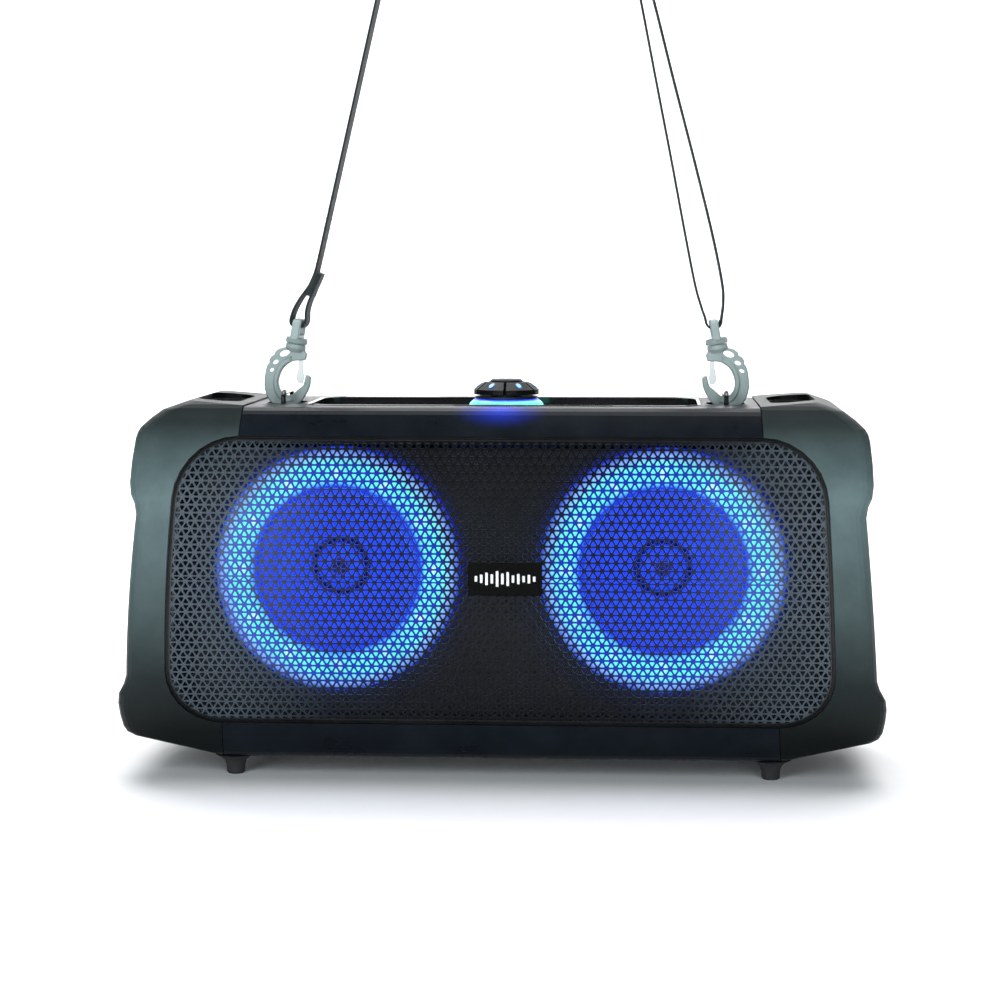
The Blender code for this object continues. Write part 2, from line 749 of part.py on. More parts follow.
def tray_mat(finish):
    outer = tray_shape(-GAP * 2 - TRIM_WIDTH)
    low = tray_floor() + GAP
    mat = prism("tray_mat", outer, "z", low, low + MAT_THICKNESS, finish)
    centre, _ = tray_centre()
    boolean(mat, turned("mat_hole", disc(DOME_RING_RADIUS + GAP, -0.01, 0.02), (0.0, centre, low), "z",
                        None, 36))
    return mat


# ---------------------------------------------------------------- control dome

def dome_centre():
    return (0.0, tray_centre()[0], tray_floor() + GAP)


def control_light_ring(finish):
    inner = DOME_STEM_RADIUS + GAP
    profile = [(inner, 0.0), (DOME_RING_RADIUS, 0.0), (DOME_RING_RADIUS, DOME_RING_HEIGHT - 0.0036),
               (DOME_RING_RADIUS - 0.0010, DOME_RING_HEIGHT - 0.0022), (DOME_RING_TOP, DOME_RING_HEIGHT),
               (inner, DOME_RING_HEIGHT)]
    return turned("control_light_ring", profile, dome_centre(), "z", finish, 40)


def key_base():
    """Height of the keys' lower faces above the tray floor, at rest."""
    return DOME_RING_HEIGHT + GAP + 0.0012 + KEY_TRAVEL + GAP


def control_housing(finish):
    """The disc that carries the keys, with its stem below and the power button's boss above."""
    base = DOME_RING_HEIGHT + GAP
    boss = key_base() + KEY_HEIGHT - 0.0028
    profile = [(0.0, -PANEL_THICKNESS + TRAY_DEPTH - 0.0016),
               (DOME_STEM_RADIUS, -PANEL_THICKNESS + TRAY_DEPTH - 0.0016),
               (DOME_STEM_RADIUS, base), (DOME_RING_TOP - 0.0002, base), (DOME_RING_TOP - 0.0002,
                                                                          base + 0.0012),
               (KEY_INNER - 0.0012, base + 0.0012), (KEY_INNER - 0.0012, boss), (0.0, boss)]
    return turned("control_housing", profile, dome_centre(), "z", finish, 36)


def control_key(index, finish):
    """One of the keys round the dome: an upright skirt, a sloping face and a narrow flat top."""
    middle = math.radians(-90 + 30 + 60 * index)
    half = math.pi / KEY_COUNT
    low = key_base()
    profile = [(KEY_INNER, low), (KEY_OUTER - 0.0003, low), (KEY_OUTER, low + 0.0004),
               (KEY_OUTER, low + KEY_SKIRT - 0.0003), (KEY_OUTER - 0.0005,
                                                       low + KEY_SKIRT), (KEY_INNER + 0.0030,
                                                                          low + KEY_HEIGHT - 0.0002),
               (KEY_INNER + 0.0025, low + KEY_HEIGHT), (KEY_INNER, low + KEY_HEIGHT)]
    cx, cy, cz = dome_centre()
    loops = []
    steps = 6
    for i in range(steps + 1):
        share = 2 * i / steps - 1
        loop = []
        for radius, height in profile:
            angle = middle + share * (half - KEY_SPACING / 2 / radius)
            loop.append((cx + radius * math.cos(angle), cy + radius * math.sin(angle), cz + height))
        loops.append(loop)
    return loft(f"control_key_{index + 1}", loops, finish, origin=(cx, cy, cz + low))


def power_button(finish):
    low = key_base() + KEY_HEIGHT - 0.0028 + KEY_TRAVEL + GAP
    top = key_base() + KEY_HEIGHT + 0.0020
    profile = [(0.0, low), (POWER_RADIUS, low), (POWER_RADIUS, top - 0.0012),
               (POWER_RADIUS - 0.0012, top - 0.0002),
               (POWER_RADIUS - 0.0030, top), (0.0, top - 0.0003)]
    cx, cy, cz = dome_centre()
    return turned("power_button", profile, (cx, cy, cz), "z", finish, 32, origin=(cx, cy, cz + low))


def control_board(finish):
    cx, cy, _ = dome_centre()
    high = TOP - PANEL_THICKNESS - 0.0016 - 2 * GAP
    shape = rounded_rect(0.052, 0.040, 0.003, 2, (cx, cy))
    return prism("control_board", shape, "z", high - 0.0016, high, finish)


# ---------------------------------------------------------------- strap hardware

def strap_anchor(name, side, finish):
    """A bail whose legs go down into sockets in the top panel."""
    half = ANCHOR_WIDTH / 2
    high = TOP + ANCHOR_HEIGHT
    low = TOP - ANCHOR_ROOT
    corner = 0.0070
    outline = [(-half, low)]
    inner_half = half - ANCHOR_BAR
    outline += [(-inner_half, low)]
    outline += arc((-inner_half + corner - ANCHOR_BAR, high - corner), corner - ANCHOR_BAR, 180, 90, 4)
    outline += arc((inner_half - corner + ANCHOR_BAR, high - corner), corner - ANCHOR_BAR, 90, 0, 4)
    outline += [(inner_half, low), (half, low)]
    outline += arc((half - corner, high - corner), corner, 0, 90, 5)
    outline += arc((-half + corner, high - corner), corner, 90, 180, 5)
    x = side * ANCHOR_SPREAD
    return prism(name, outline, "x", x - ANCHOR_THICKNESS / 2, x + ANCHOR_THICKNESS / 2, finish, 0.0009)


def hook_origin(side):
    """The lowest point inside the hook, just under the bail it hangs on."""
    return Vector((side * ANCHOR_SPREAD, 0.0, TOP + ANCHOR_HEIGHT - ANCHOR_BAR - HOOK_REST))


def place_hook_piece(obj, side):
    """Moves a piece modelled upright at the world origin, with its cutters, onto its hook."""
    turn = Matrix.Rotation(-side * HOOK_TILT, 4, "Y")
    for piece in [obj] + [change.object for change in obj.modifiers]:
        offset = piece.location.copy()
        if side > 0:
            offset.x = -offset.x
            piece.data.transform(Matrix.Scale(-1, 4, (1, 0, 0)))
            piece.data.flip_normals()
        piece.rotation_euler = turn.to_euler()
        piece.location = hook_origin(side) + turn.to_3x3() @ offset
    return obj


def hook_shape():
    """The hook's outline in its own plane: scalloped back, bow, nose, inside, gate block."""
    back = [(-0.0062, 0.0312), (-0.0100, 0.0296), (-0.0124, 0.0272), (-0.0126, 0.0252), (-0.0146, 0.0236),
            (-0.0156, 0.0212), (-0.0152, 0.0192), (-0.0163, 0.0174), (-0.0168, 0.0140)]
    bow = smooth_curve([(-0.0168, 0.0140), (-0.0161, 0.0040), (-0.0122, -0.0042), (-0.0050, -0.0085),
                        (0.0030, -0.0078), (0.0090, -0.0028), (0.0126, 0.0050), (0.0136, 0.0115)], 3)
    nose = [(0.0130, 0.0144), (0.0114, 0.0154), (0.0096, 0.0152)]
    inside = smooth_curve([(0.0096, 0.0152), (0.0090, 0.0085), (0.0066, 0.0058), (0.0030, 0.0014),
                           (0.0, 0.0),
                           (-0.0044, 0.0018), (-0.0071, 0.0068), (-0.0071, 0.0128), (-0.0048, 0.0184),
                           (-0.0008, 0.0222), (0.0024, 0.0234)], 3)
    block = [(0.0078, 0.0246), (0.0084, 0.0285), (0.0062, 0.0312)]
    return back[:-1] + bow[:-1] + nose[:-1] + inside[:-1] + [inside[-1]] + block


def hook_rim():
    """The raised band along the inside of the hook's back and bow."""
    inside = smooth_curve([(0.0030, 0.0014), (0.0, 0.0), (-0.0044, 0.0018), (-0.0071, 0.0068),
                           (-0.0071, 0.0128), (-0.0048, 0.0184), (-0.0008, 0.0222)], 3)
    outer = smooth_curve([(-0.0016, 0.0262), (-0.0078, 0.0214), (-0.0106, 0.0140), (-0.0104, 0.0056),
                          (-0.0068, -0.0014), (-0.0010, -0.0046), (0.0048, -0.0030)], 3)
    return [(x, z + 0.00001) for x, z in inside] + outer


def slit_for_gate():
    """Room for the gate: a slot in the block, wide enough for the gate to swing inwards."""
    return [(-0.0004, 0.0205), (0.0070, 0.0205), (0.0072, 0.0292), (0.0022, 0.0292)]


def hook_body(name, side, finish):
    """The hook with its collar; it turns in the swivel eye above it."""
    outline = hook_shape()
    hook = prism(name, outline, "y", -HOOK_WEB / 2, HOOK_WEB / 2, finish, 0.0007)
    boolean(hook, prism(name + "_rim", hook_rim(), "y", -HOOK_RIM / 2, HOOK_RIM / 2, None, 0.0010), "UNION")
    collar = [(0.0, COLLAR_BASE - 0.0020), (COLLAR_RADIUS - 0.0020, COLLAR_BASE - 0.0020),
              (COLLAR_RADIUS - 0.0002, COLLAR_BASE), (COLLAR_RADIUS, COLLAR_BASE + 0.0006),
              (COLLAR_RADIUS - 0.0004, COLLAR_SPLIT - GAP), (0.0, COLLAR_SPLIT - GAP)]
    boolean(hook, turned(name + "_collar", collar, (0, 0, 0), "z", None, 20), "UNION")
    boolean(hook, prism(name + "_slit", slit_for_gate(), "y", -0.0016, 0.0016, None))
    for index, (x, z, wide, tall) in enumerate(((-0.0064, 0.0268, 0.0066, 0.0040),
                                                (-0.0112, 0.0202, 0.0038, 0.0028),
                                                (-0.0130, 0.0146, 0.0030, 0.0022))):
        shape = [(x + wide / 2 * math.cos(a), z + tall / 2 * math.sin(a) + 0.4 * wide / 2 * math.cos(a))
                 for a in (2 * math.pi * i / 12 for i in range(12))]
        boolean(hook, prism(f"{name}_hole_{index}", shape, "y", -0.01, 0.01, None))
    return place_hook_piece(hook, side)


GATE_PIVOT = Vector((0.0046, 0.0, 0.0272))


def hook_gate(name, side, finish):
    """The gate closes the mouth and swings inwards on its upper end."""
    outline = [(0.0036, 0.0282), (0.0030, 0.0268), (0.0040, 0.0200), (0.0036, 0.0120), (0.0058, 0.0092),
               (0.0084, 0.0092), (0.0088, 0.0146), (0.0078, 0.0160), (0.0060, 0.0264), (0.0054, 0.0282)]
    outline = [(x - GATE_PIVOT.x, z - GATE_PIVOT.z) for x, z in outline]
    gate = prism(name, outline, "y", -0.0012, 0.0012, finish, 0.0003)
    gate.location = GATE_PIVOT
    return place_hook_piece(gate, side)


def swivel_eye(name, side, finish):
    """The strap loop above the hook, on the upper half of the collar."""
    half = EYE_WIDTH / 2
    inner = half - EYE_THICKNESS
    low = COLLAR_TOP - 0.0010
    outline = [(-half, low), (half, low)]
    outline += arc((half - 0.0040, EYE_TOP - 0.0040), 0.0040, 0, 90, 3)
    outline += arc((-half + 0.0040, EYE_TOP - 0.0040), 0.0040, 90, 180, 3)
    eye = prism(name, outline, "x", -EYE_BAND / 2, EYE_BAND / 2, finish, 0.0008)
    hole = rounded_rect(2 * inner, EYE_TOP - EYE_THICKNESS - low - 0.0024, 0.0012, 2,
                        (0.0, (EYE_TOP - EYE_THICKNESS + low + 0.0024) / 2))
    boolean(eye, prism(name + "_hole", hole, "x", -0.01, 0.01, None))
    collar = [(0.0, COLLAR_SPLIT), (COLLAR_RADIUS, COLLAR_SPLIT),
              (COLLAR_RADIUS + 0.0006, COLLAR_SPLIT + 0.0010),
              (COLLAR_RADIUS, COLLAR_TOP - 0.0004), (COLLAR_RADIUS - 0.0020, COLLAR_TOP), (0.0, COLLAR_TOP)]
    boolean(eye, turned(name + "_collar", collar, (0, 0, 0), "z", None, 20), "UNION")
    return place_hook_piece(eye, side)


# ---------------------------------------------------------------- strap

# x and height above the flat top, from the sewn end over the shoulder to the slider
STRAP_ROUTE = [
    (-0.1196, 0.0817), (-0.1239, 0.0722), (-0.1272, 0.0642), (-0.1286, 0.0587), (-0.1288, 0.0537),
    (-0.1295, 0.0510), (-0.1314, 0.0489), (-0.1344, 0.0491), (-0.1373, 0.0498), (-0.1387, 0.0521),
    (-0.1382, 0.0558), (-0.1360, 0.0614), (-0.1322, 0.0677), (-0.1274, 0.0742), (-0.1231, 0.0817),
    (-0.1127, 0.1252), (-0.0985, 0.1862), (-0.0819, 0.2577), (-0.0778, 0.2732), (-0.0679, 0.2907),
    (-0.0502, 0.3092), (-0.0256, 0.3232), (0.0059, 0.3282), (0.0374, 0.3232), (0.0620, 0.3092),
    (0.0788, 0.2917), (0.0886, 0.2742), (0.0940, 0.2577), (0.1073, 0.2062), (0.1206, 0.1562),
    (0.1325, 0.1092), (0.1392, 0.0772), (0.1400, 0.0652), (0.1394, 0.0582), (0.1387, 0.0532),
    (0.1373, 0.0498), (0.1344, 0.0491), (0.1314, 0.0489), (0.1295, 0.0510), (0.1284, 0.0552),
    (0.1258, 0.0627), (0.1217, 0.0772), (0.1152, 0.1092), (0.1061, 0.1562), (0.0961, 0.2062),
    (0.0859, 0.2577), (0.0833, 0.2682),
]
PAD_CENTRE = (0.0059, 0.2362)
PAD_RADIUS = 0.0905
PAD_THICKNESS = 0.0075
PAD_GAP = 0.0010
PAD_WIDTH = 0.0440
PAD_SPAN = 46
SLIDER_PLACE = (0.0855, 0.2747)
SLIDER_LEAN = math.radians(-20)


def strap_webbing(finish):
    """One flat webbing: sewn left end, left eye, over the top, right eye, back up to the slider."""
    route = [(x, TOP + rise) for x, rise in smooth_curve(STRAP_ROUTE, 2)]
    loops = []
    for i, (x, z) in enumerate(route):
        before = Vector(route[max(i - 1, 0)])
        after = Vector(route[min(i + 1, len(route) - 1)])
        along = (after - before).normalized()
        side = Vector((-along.y, along.x)) * STRAP_THICKNESS / 2
        half = STRAP_WIDTH / 2
        loops.append([(x + side.x, -half, z + side.y), (x + side.x, half, z + side.y),
                      (x - side.x, half, z - side.y), (x - side.x, -half, z - side.y)])
    return loft("strap_webbing", loops, finish)


def strap_slider(finish):
    """A three-bar slider beside the strap, where the webbing's free end is fixed."""
    frame = rounded_rect(0.0270, 0.0130, 0.0020, 2)
    slider = prism("strap_slider", frame, "x", -0.0012, 0.0012, finish, 0.0005)
    for end in (-1, 1):
        slot = rounded_rect(0.0210, 0.0034, 0.0008, 1, (0.0, end * 0.0031))
        boolean(slider, prism(f"slider_slot_{end}", slot, "x", -0.01, 0.01, None))
    slider.location = (SLIDER_PLACE[0], 0.0, TOP + SLIDER_PLACE[1])
    slider.rotation_euler = (0.0, SLIDER_LEAN, 0.0)
    return slider


def shoulder_pad(finish):
    """A soft pad that follows the underside of the strap where it lies on the shoulder."""
    radius = PAD_RADIUS - STRAP_THICKNESS / 2 - PAD_GAP
    centre = (PAD_CENTRE[0], TOP + PAD_CENTRE[1])
    outer = arc(centre, radius, 90 - PAD_SPAN, 90 + PAD_SPAN, 14)
    inner = arc(centre, radius - PAD_THICKNESS, 90 + PAD_SPAN, 90 - PAD_SPAN, 14)
    return prism("shoulder_pad", outer + inner, "y", -PAD_WIDTH / 2, PAD_WIDTH / 2, finish, 0.0020)


# ---------------------------------------------------------------- back and inside

def bass_port(finish):
    """A flared tube from the back into the box."""
    mouth = back_y(port_z())
    inner = mouth - PORT_LENGTH
    outer_radius = PORT_RADIUS + PORT_WALL
    lip = mouth + 0.0002
    profile = [(PORT_RADIUS, 0.0), (outer_radius, 0.0), (outer_radius, lip - inner - 0.0016 + GAP)]
    profile += [(PORT_RADIUS + PORT_FLARE, lip - inner - 0.0016 + GAP),
                (PORT_RADIUS + PORT_FLARE, lip - inner + 0.0006)]
    profile += [(PORT_RADIUS + PORT_FLARE - 0.0010, lip - inner + 0.0012),
                (PORT_RADIUS + 0.0020, lip - inner - 0.0030),
                (PORT_RADIUS, lip - inner - 0.0090)]
    return turned("bass_port", profile, (PORT_X, inner, port_z()), "y", finish, 28)


def io_panel(finish):
    shape = rounded_rect(IO_WIDTH + 0.006, IO_HEIGHT + 0.006, 0.003, 2, (0.0, io_centre()))
    return prism("io_panel", shape, "y", box_back() + GAP, box_back() + GAP + 0.0020, finish)


def socket(name, x, z, width, height, hole_width, hole_height, finish):
    """A socket on the rear panel, open to the back."""
    low = box_back() + 2 * GAP + 0.0020
    body = prism(name, rounded_rect(width, height, 0.0010, 2, (x, z)), "y", low, low + 0.0060, finish)
    hole = rounded_rect(hole_width, hole_height, min(hole_width, hole_height) * 0.45, 3, (x, z))
    boolean(body, prism(name + "_hole", hole, "y", low + 0.0012, low + 0.02, None))
    return body


def power_switch(finish):
    """A rocker that turns about X on the rear panel."""
    low = box_back() + 2 * GAP + 0.0020
    x = 0.0340
    z = io_centre()
    profile = [(low + 0.0012, z - 0.0070), (low + 0.0042, z - 0.0074), (low + 0.0030, z),
               (low + 0.0052, z + 0.0072),
               (low + 0.0012, z + 0.0070), (low + 0.0004, z)]
    pivot = (x, low + 0.0016, z)
    rocker = prism("power_switch", profile, "x", x - 0.0050, x + 0.0050, finish, origin=pivot)
    return rocker


def flap_hinge():
    """The flap's hinge line: y and z."""
    high = io_centre() + IO_HEIGHT / 2
    return back_y(high) - FLAP_THICKNESS / 2 - 0.0006, high - 0.0022


def io_flap(finish):
    """The cover over the sockets, hinged along its upper edge."""
    y, z = flap_hinge()
    width = IO_WIDTH - 0.0016
    low = io_centre() - IO_HEIGHT / 2 + 0.0010
    half = FLAP_THICKNESS / 2
    outline = [(y - half, z), (y - half, low), (y + half, low)]
    outline += arc((y, z), half, 0, 180, 6)
    return prism("io_flap", outline, "x", -width / 2, width / 2, finish, origin=(0.0, y, z))


def battery_pack(finish):
    shape = rounded_rect(0.074, 0.038, 0.004, 2, (0.0, box_outline(BOX_WALL)[0][1] + GAP + 0.019))
    return prism("battery_pack", shape, "y", 0.0, 0.050, finish, 0.0010)


def main_board(finish):
    """The amplifier board, with its heat sink and parts raised from it."""
    back = box_back() - BOX_WALL - 0.004
    z = io_centre() + 0.006
    board = prism("main_board", rounded_rect(0.086, 0.060, 0.001, 1, (0.0, z)), "y", back - 0.0016, back,
                  finish)
    for x, up, width, height, depth in ((-0.026, 0.012, 0.022, 0.026, 0.016),
                                        (0.006, 0.014, 0.012, 0.012, 0.004),
                                        (0.028, 0.010, 0.010, 0.030, 0.008), (0.004, -0.014, 0.030, 0.010,
                                                                              0.006)):
        part = rounded_rect(width, height, 0.0008, 1, (x, z + up - 0.004))
        boolean(board, prism(f"board_part_{x}", part, "y", back - 0.0010 - depth, back - 0.0008, None),
                "UNION")
    return board


def foot(name, side, y, finish):
    """A turned foot that flares where it meets the body."""
    high = BOTTOM - GAP
    profile = [(0.0, 0.0), (FOOT_TIP - 0.0010, 0.0), (FOOT_TIP, 0.0010), (FOOT_TIP + 0.0003, high * 0.45),
               (FOOT_TIP + 0.0013, high * 0.68), (FOOT_TIP + 0.0034, high * 0.87), (FOOT_TOP, high), (0.0,
                                                                                                      high)]
    return turned(name, profile, (side * (HALF_WIDTH - FOOT_X), y, 0.0), "z", finish, 18)


# ---------------------------------------------------------------- assembly

def clear_scene():
    for obj in list(bpy.data.objects):
        bpy.data.objects.remove(obj)


def main():
    clear_scene()
    charcoal = material("cap_plastic", (0.060, 0.068, 0.068), 0.48)
    navy = material("bezel_plastic", (0.012, 0.014, 0.020), 0.32)
    black = material("black_plastic", (0.014, 0.015, 0.017), 0.5)
    gloss = material("gloss_plastic", (0.010, 0.010, 0.012), 0.12)
    rubber = material("rubber", (0.016, 0.016, 0.017), 0.8)
    mesh_metal = material("grille_metal", (0.035, 0.038, 0.040), 0.4, 0.7)
    steel = material("steel", (0.35, 0.36, 0.37), 0.35, 1.0)
    light = material("light_guide", (0.30, 0.75, 1.0), 0.3)
    cone = material("cone_paper", (0.03, 0.05, 0.35), 0.6)
    hook_grey = material("hook_plastic", (0.30, 0.37, 0.36), 0.42)
    gate_white = material("gate_plastic", (0.85, 0.87, 0.86), 0.4)
    webbing = material("webbing", (0.020, 0.030, 0.031), 0.85)
    padding = material("pad_fabric", (0.018, 0.020, 0.021), 0.9)
    board = material("circuit_board", (0.02, 0.16, 0.06), 0.5)
    cell = material("battery_wrap", (0.05, 0.16, 0.42), 0.45)

    cabinet(black)
    front_baffle(black)
    rear_cover(charcoal)
    base_plate(navy)
    top_bezel(navy)
    bottom_bezel(navy)
    top_panel(navy)
    tray_trim(gloss)
    tray_mat(rubber)
    grille(mesh_metal)
    grille_frame(black)
    badge_plate(gloss)
    for name, side in SIDES:
        end_cap("end_cap_" + name, side, charcoal)
        grip_cup("grip_cup_" + name, side, black)
        led_ring("led_ring_" + name, side, light)
        woofer_frame("woofer_frame_" + name, side, black)
        woofer_magnet("woofer_magnet_" + name, side, steel)
        woofer_surround("woofer_surround_" + name, side, rubber)
        woofer_cone("woofer_cone_" + name, side, cone)
        strap_anchor("strap_anchor_" + name, side, gloss)
        hook_body("hook_" + name, side, hook_grey)
        hook_gate("hook_gate_" + name, side, gate_white)
        swivel_eye("swivel_eye_" + name, side, hook_grey)
        foot("foot_front_" + name, side, front_y(BOTTOM) + FOOT_FRONT_INSET, rubber)
        foot("foot_rear_" + name, side, back_y(BOTTOM) - FOOT_BACK_INSET, rubber)
    control_light_ring(light)
    control_housing(black)
    for index in range(KEY_COUNT):
        control_key(index, charcoal)
    power_button(charcoal)
    control_board(board)
    strap_webbing(webbing)
    strap_slider(black)
    shoulder_pad(padding)
    bass_port(black)
    io_panel(black)
    socket("usb_socket", -0.030, io_centre(), 0.0150, 0.0080, 0.0122, 0.0038, steel)
    socket("charge_jack", -0.008, io_centre(), 0.0110, 0.0060, 0.0086, 0.0030, steel)
    socket("aux_jack", 0.012, io_centre(), 0.0090, 0.0090, 0.0036, 0.0036, black)
    power_switch(gloss)
    io_flap(rubber)
    battery_pack(cell)
    main_board(board)


main()
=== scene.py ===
"""Looks for a portable party speaker: perforated front, light rings, key dome, snap hooks and strap."""
import json
import math

import bmesh
import bpy
from mathutils import Matrix, Vector


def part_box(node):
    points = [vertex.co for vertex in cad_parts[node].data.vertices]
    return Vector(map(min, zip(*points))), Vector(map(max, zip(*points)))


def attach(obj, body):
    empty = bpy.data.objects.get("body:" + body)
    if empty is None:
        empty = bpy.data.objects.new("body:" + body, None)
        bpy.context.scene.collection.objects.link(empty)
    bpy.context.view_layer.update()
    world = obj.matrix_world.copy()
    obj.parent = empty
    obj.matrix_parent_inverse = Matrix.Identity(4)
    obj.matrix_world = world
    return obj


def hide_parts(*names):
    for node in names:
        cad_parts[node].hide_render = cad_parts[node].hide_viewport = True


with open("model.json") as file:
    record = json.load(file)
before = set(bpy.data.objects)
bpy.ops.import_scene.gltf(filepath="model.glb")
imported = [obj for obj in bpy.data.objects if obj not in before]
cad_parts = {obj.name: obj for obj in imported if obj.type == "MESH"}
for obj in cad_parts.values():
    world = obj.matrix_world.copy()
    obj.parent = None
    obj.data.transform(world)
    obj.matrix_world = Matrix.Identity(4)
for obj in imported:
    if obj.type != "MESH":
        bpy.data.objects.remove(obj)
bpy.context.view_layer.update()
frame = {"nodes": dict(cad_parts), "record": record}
nodes = frame["nodes"]
SIDES = (("left", -1), ("right", 1))


def low(name):
    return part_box(name)[0]


def high(name):
    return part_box(name)[1]


def middle(name):
    lowest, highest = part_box(name)
    return (lowest + highest) / 2


# ---------------------------------------------------------------- material tools

def node(tree, kind, inputs=None, **settings):
    """Adds a shader node. A socket given as an input is linked, anything else is set."""
    made = tree.nodes.new("ShaderNode" + kind)
    for key, value in settings.items():
        setattr(made, key, value)
    for key, value in (inputs or {}).items():
        if isinstance(value, bpy.types.NodeSocket):
            tree.links.new(value, made.inputs[key])
        else:
            made.inputs[key].default_value = value
    return made


def math_node(tree, operation, a, b=0.0, c=0.0):
    return node(tree, "Math", {0: a, 1: b, 2: c}, operation=operation).outputs[0]


def ramp(tree, value, stops):
    """A colour ramp with (place, colour) stops; a colour is a grey number or three numbers."""
    made = node(tree, "ValToRGB", {"Fac": value})
    elements = made.color_ramp.elements
    while len(elements) < len(stops):
        elements.new(0.5)
    for element, (place, colour) in zip(elements, stops):
        element.position = place
        three = (colour,) * 3 if isinstance(colour, (int, float)) else colour
        element.color = (*three, 1.0)
    return made.outputs["Color"]


def spread(tree, value, low_in, high_in, low_out=0.0, high_out=1.0):
    return node(tree, "MapRange", {"Value": value, "From Min": low_in, "From Max": high_in,
                                   "To Min": low_out, "To Max": high_out}).outputs["Result"]


def noise(tree, scale, detail=3.0, roughness=0.6, distortion=0.0, stretch=None):
    place = node(tree, "TexCoord").outputs["Object"]
    if stretch:
        place = node(tree, "Mapping", {"Vector": place, "Scale": stretch}).outputs["Vector"]
    made = node(tree, "TexNoise", {"Vector": place, "Scale": scale, "Detail": detail,
                                   "Roughness": roughness, "Distortion": distortion})
    return made.outputs["Fac"]


def mix(tree, share, a, b):
    made = node(tree, "Mix", data_type="RGBA")
    for socket, value in ((made.inputs[0], share), (made.inputs[6], a), (made.inputs[7], b)):
        if isinstance(value, bpy.types.NodeSocket):
            tree.links.new(value, socket)
        elif socket == made.inputs[0]:
            socket.default_value = value
        else:
            socket.default_value = (*value, 1.0)
    return made.outputs[2]


def new_material(name):
    made = bpy.data.materials.new(name)
    made.use_nodes = True
    tree = made.node_tree
    return made, tree, tree.nodes["Principled BSDF"]


def bumps(tree, shader, height, distance, strength=1.0, edge=0.0):
    """Bump from a height socket, over a rounded-edge normal where edge is given."""
    inputs = {"Height": height, "Distance": distance, "Strength": strength}
    if edge:
        inputs["Normal"] = node(tree, "Bevel", {"Radius": edge}, samples=4).outputs["Normal"]
    bump = node(tree, "Bump", inputs)
    tree.links.new(bump.outputs["Normal"], shader.inputs["Normal"])


def toned(tree, colour, axis, lowest, highest, stops):
    """Multiplies a colour by a tone along one axis, which imitates the photograph's studio light.

    The real material is one even colour, so this is a stand-in for light and doesn't follow the lamps.
    """
    place = node(tree, "TexCoord").outputs["Object"]
    along = node(tree, "SeparateXYZ", {0: place}).outputs[axis]
    tone = ramp(tree, spread(tree, along, lowest, highest), stops)
    made = node(tree, "Mix", data_type="RGBA", blend_type="MULTIPLY")
    made.inputs[0].default_value = 1.0
    tree.links.new(colour, made.inputs[6])
    tree.links.new(tone, made.inputs[7])
    return made.outputs[2]


def moulded(name, dark, light, rough, grain=2600.0, grain_height=0.00006, edge=0.0005, metallic=0.0,
            coat=0.0, blotch=28.0, scuffs=0.10, specular=0.5, tones=()):
    """Moulded or painted surface: slow colour drift, fine grain, faint scuffs in the gloss, and painted light
    and shade from each tone.
    """
    made, tree, shader = new_material(name)
    drift = noise(tree, blotch, 4.0, 0.65)
    colour = mix(tree, spread(tree, drift, 0.35, 0.65), dark, light)
    marks = noise(tree, 160.0, 5.0, 0.75, 0.6, stretch=(1.0, 1.0, 0.12))
    scuffed = spread(tree, marks, 0.58, 0.75, 0.0, 1.0)
    worn = tuple(min(c * 2.2 + 0.02, 1) for c in light)
    lifted = mix(tree, math_node(tree, "MULTIPLY", scuffed, 0.10), colour, worn)
    # painted light and shade: each tone multiplies the colour by a ramp along one axis
    for tone in tones:
        lifted = toned(tree, lifted, *tone)
    tree.links.new(lifted, shader.inputs["Base Color"])
    gloss = spread(tree, drift, 0.3, 0.7, rough - 0.04, rough + 0.05)
    gloss = math_node(tree, "ADD", gloss, math_node(tree, "MULTIPLY", scuffed, scuffs))
    tree.links.new(gloss, shader.inputs["Roughness"])
    shader.inputs["Metallic"].default_value = metallic
    shader.inputs["Coat Weight"].default_value = coat
    shader.inputs["Specular IOR Level"].default_value = specular
    bumps(tree, shader, noise(tree, grain, 2.0, 0.5), grain_height, 0.55, edge)
    return made


def distance_from(tree, centre, plane=(1.0, 0.0, 1.0)):
    """Distance in metres from a centre, measured in a plane."""
    place = node(tree, "TexCoord").outputs["Object"]
    moved = node(tree, "VectorMath", {0: place, 1: centre}, operation="SUBTRACT").outputs["Vector"]
    flat = node(tree, "VectorMath", {0: moved, 1: plane}, operation="MULTIPLY").outputs["Vector"]
    return node(tree, "VectorMath", {0: flat}, operation="LENGTH").outputs["Value"], moved


MINT = (0.13, 1.0, 0.72)
SKY = (0.22, 0.42, 1.0)
BLUE = (0.012, 0.055, 1.0)
DEEP_BLUE = (0.004, 0.012, 0.55)
WHITE_BLUE = (0.75, 1.0, 0.97)


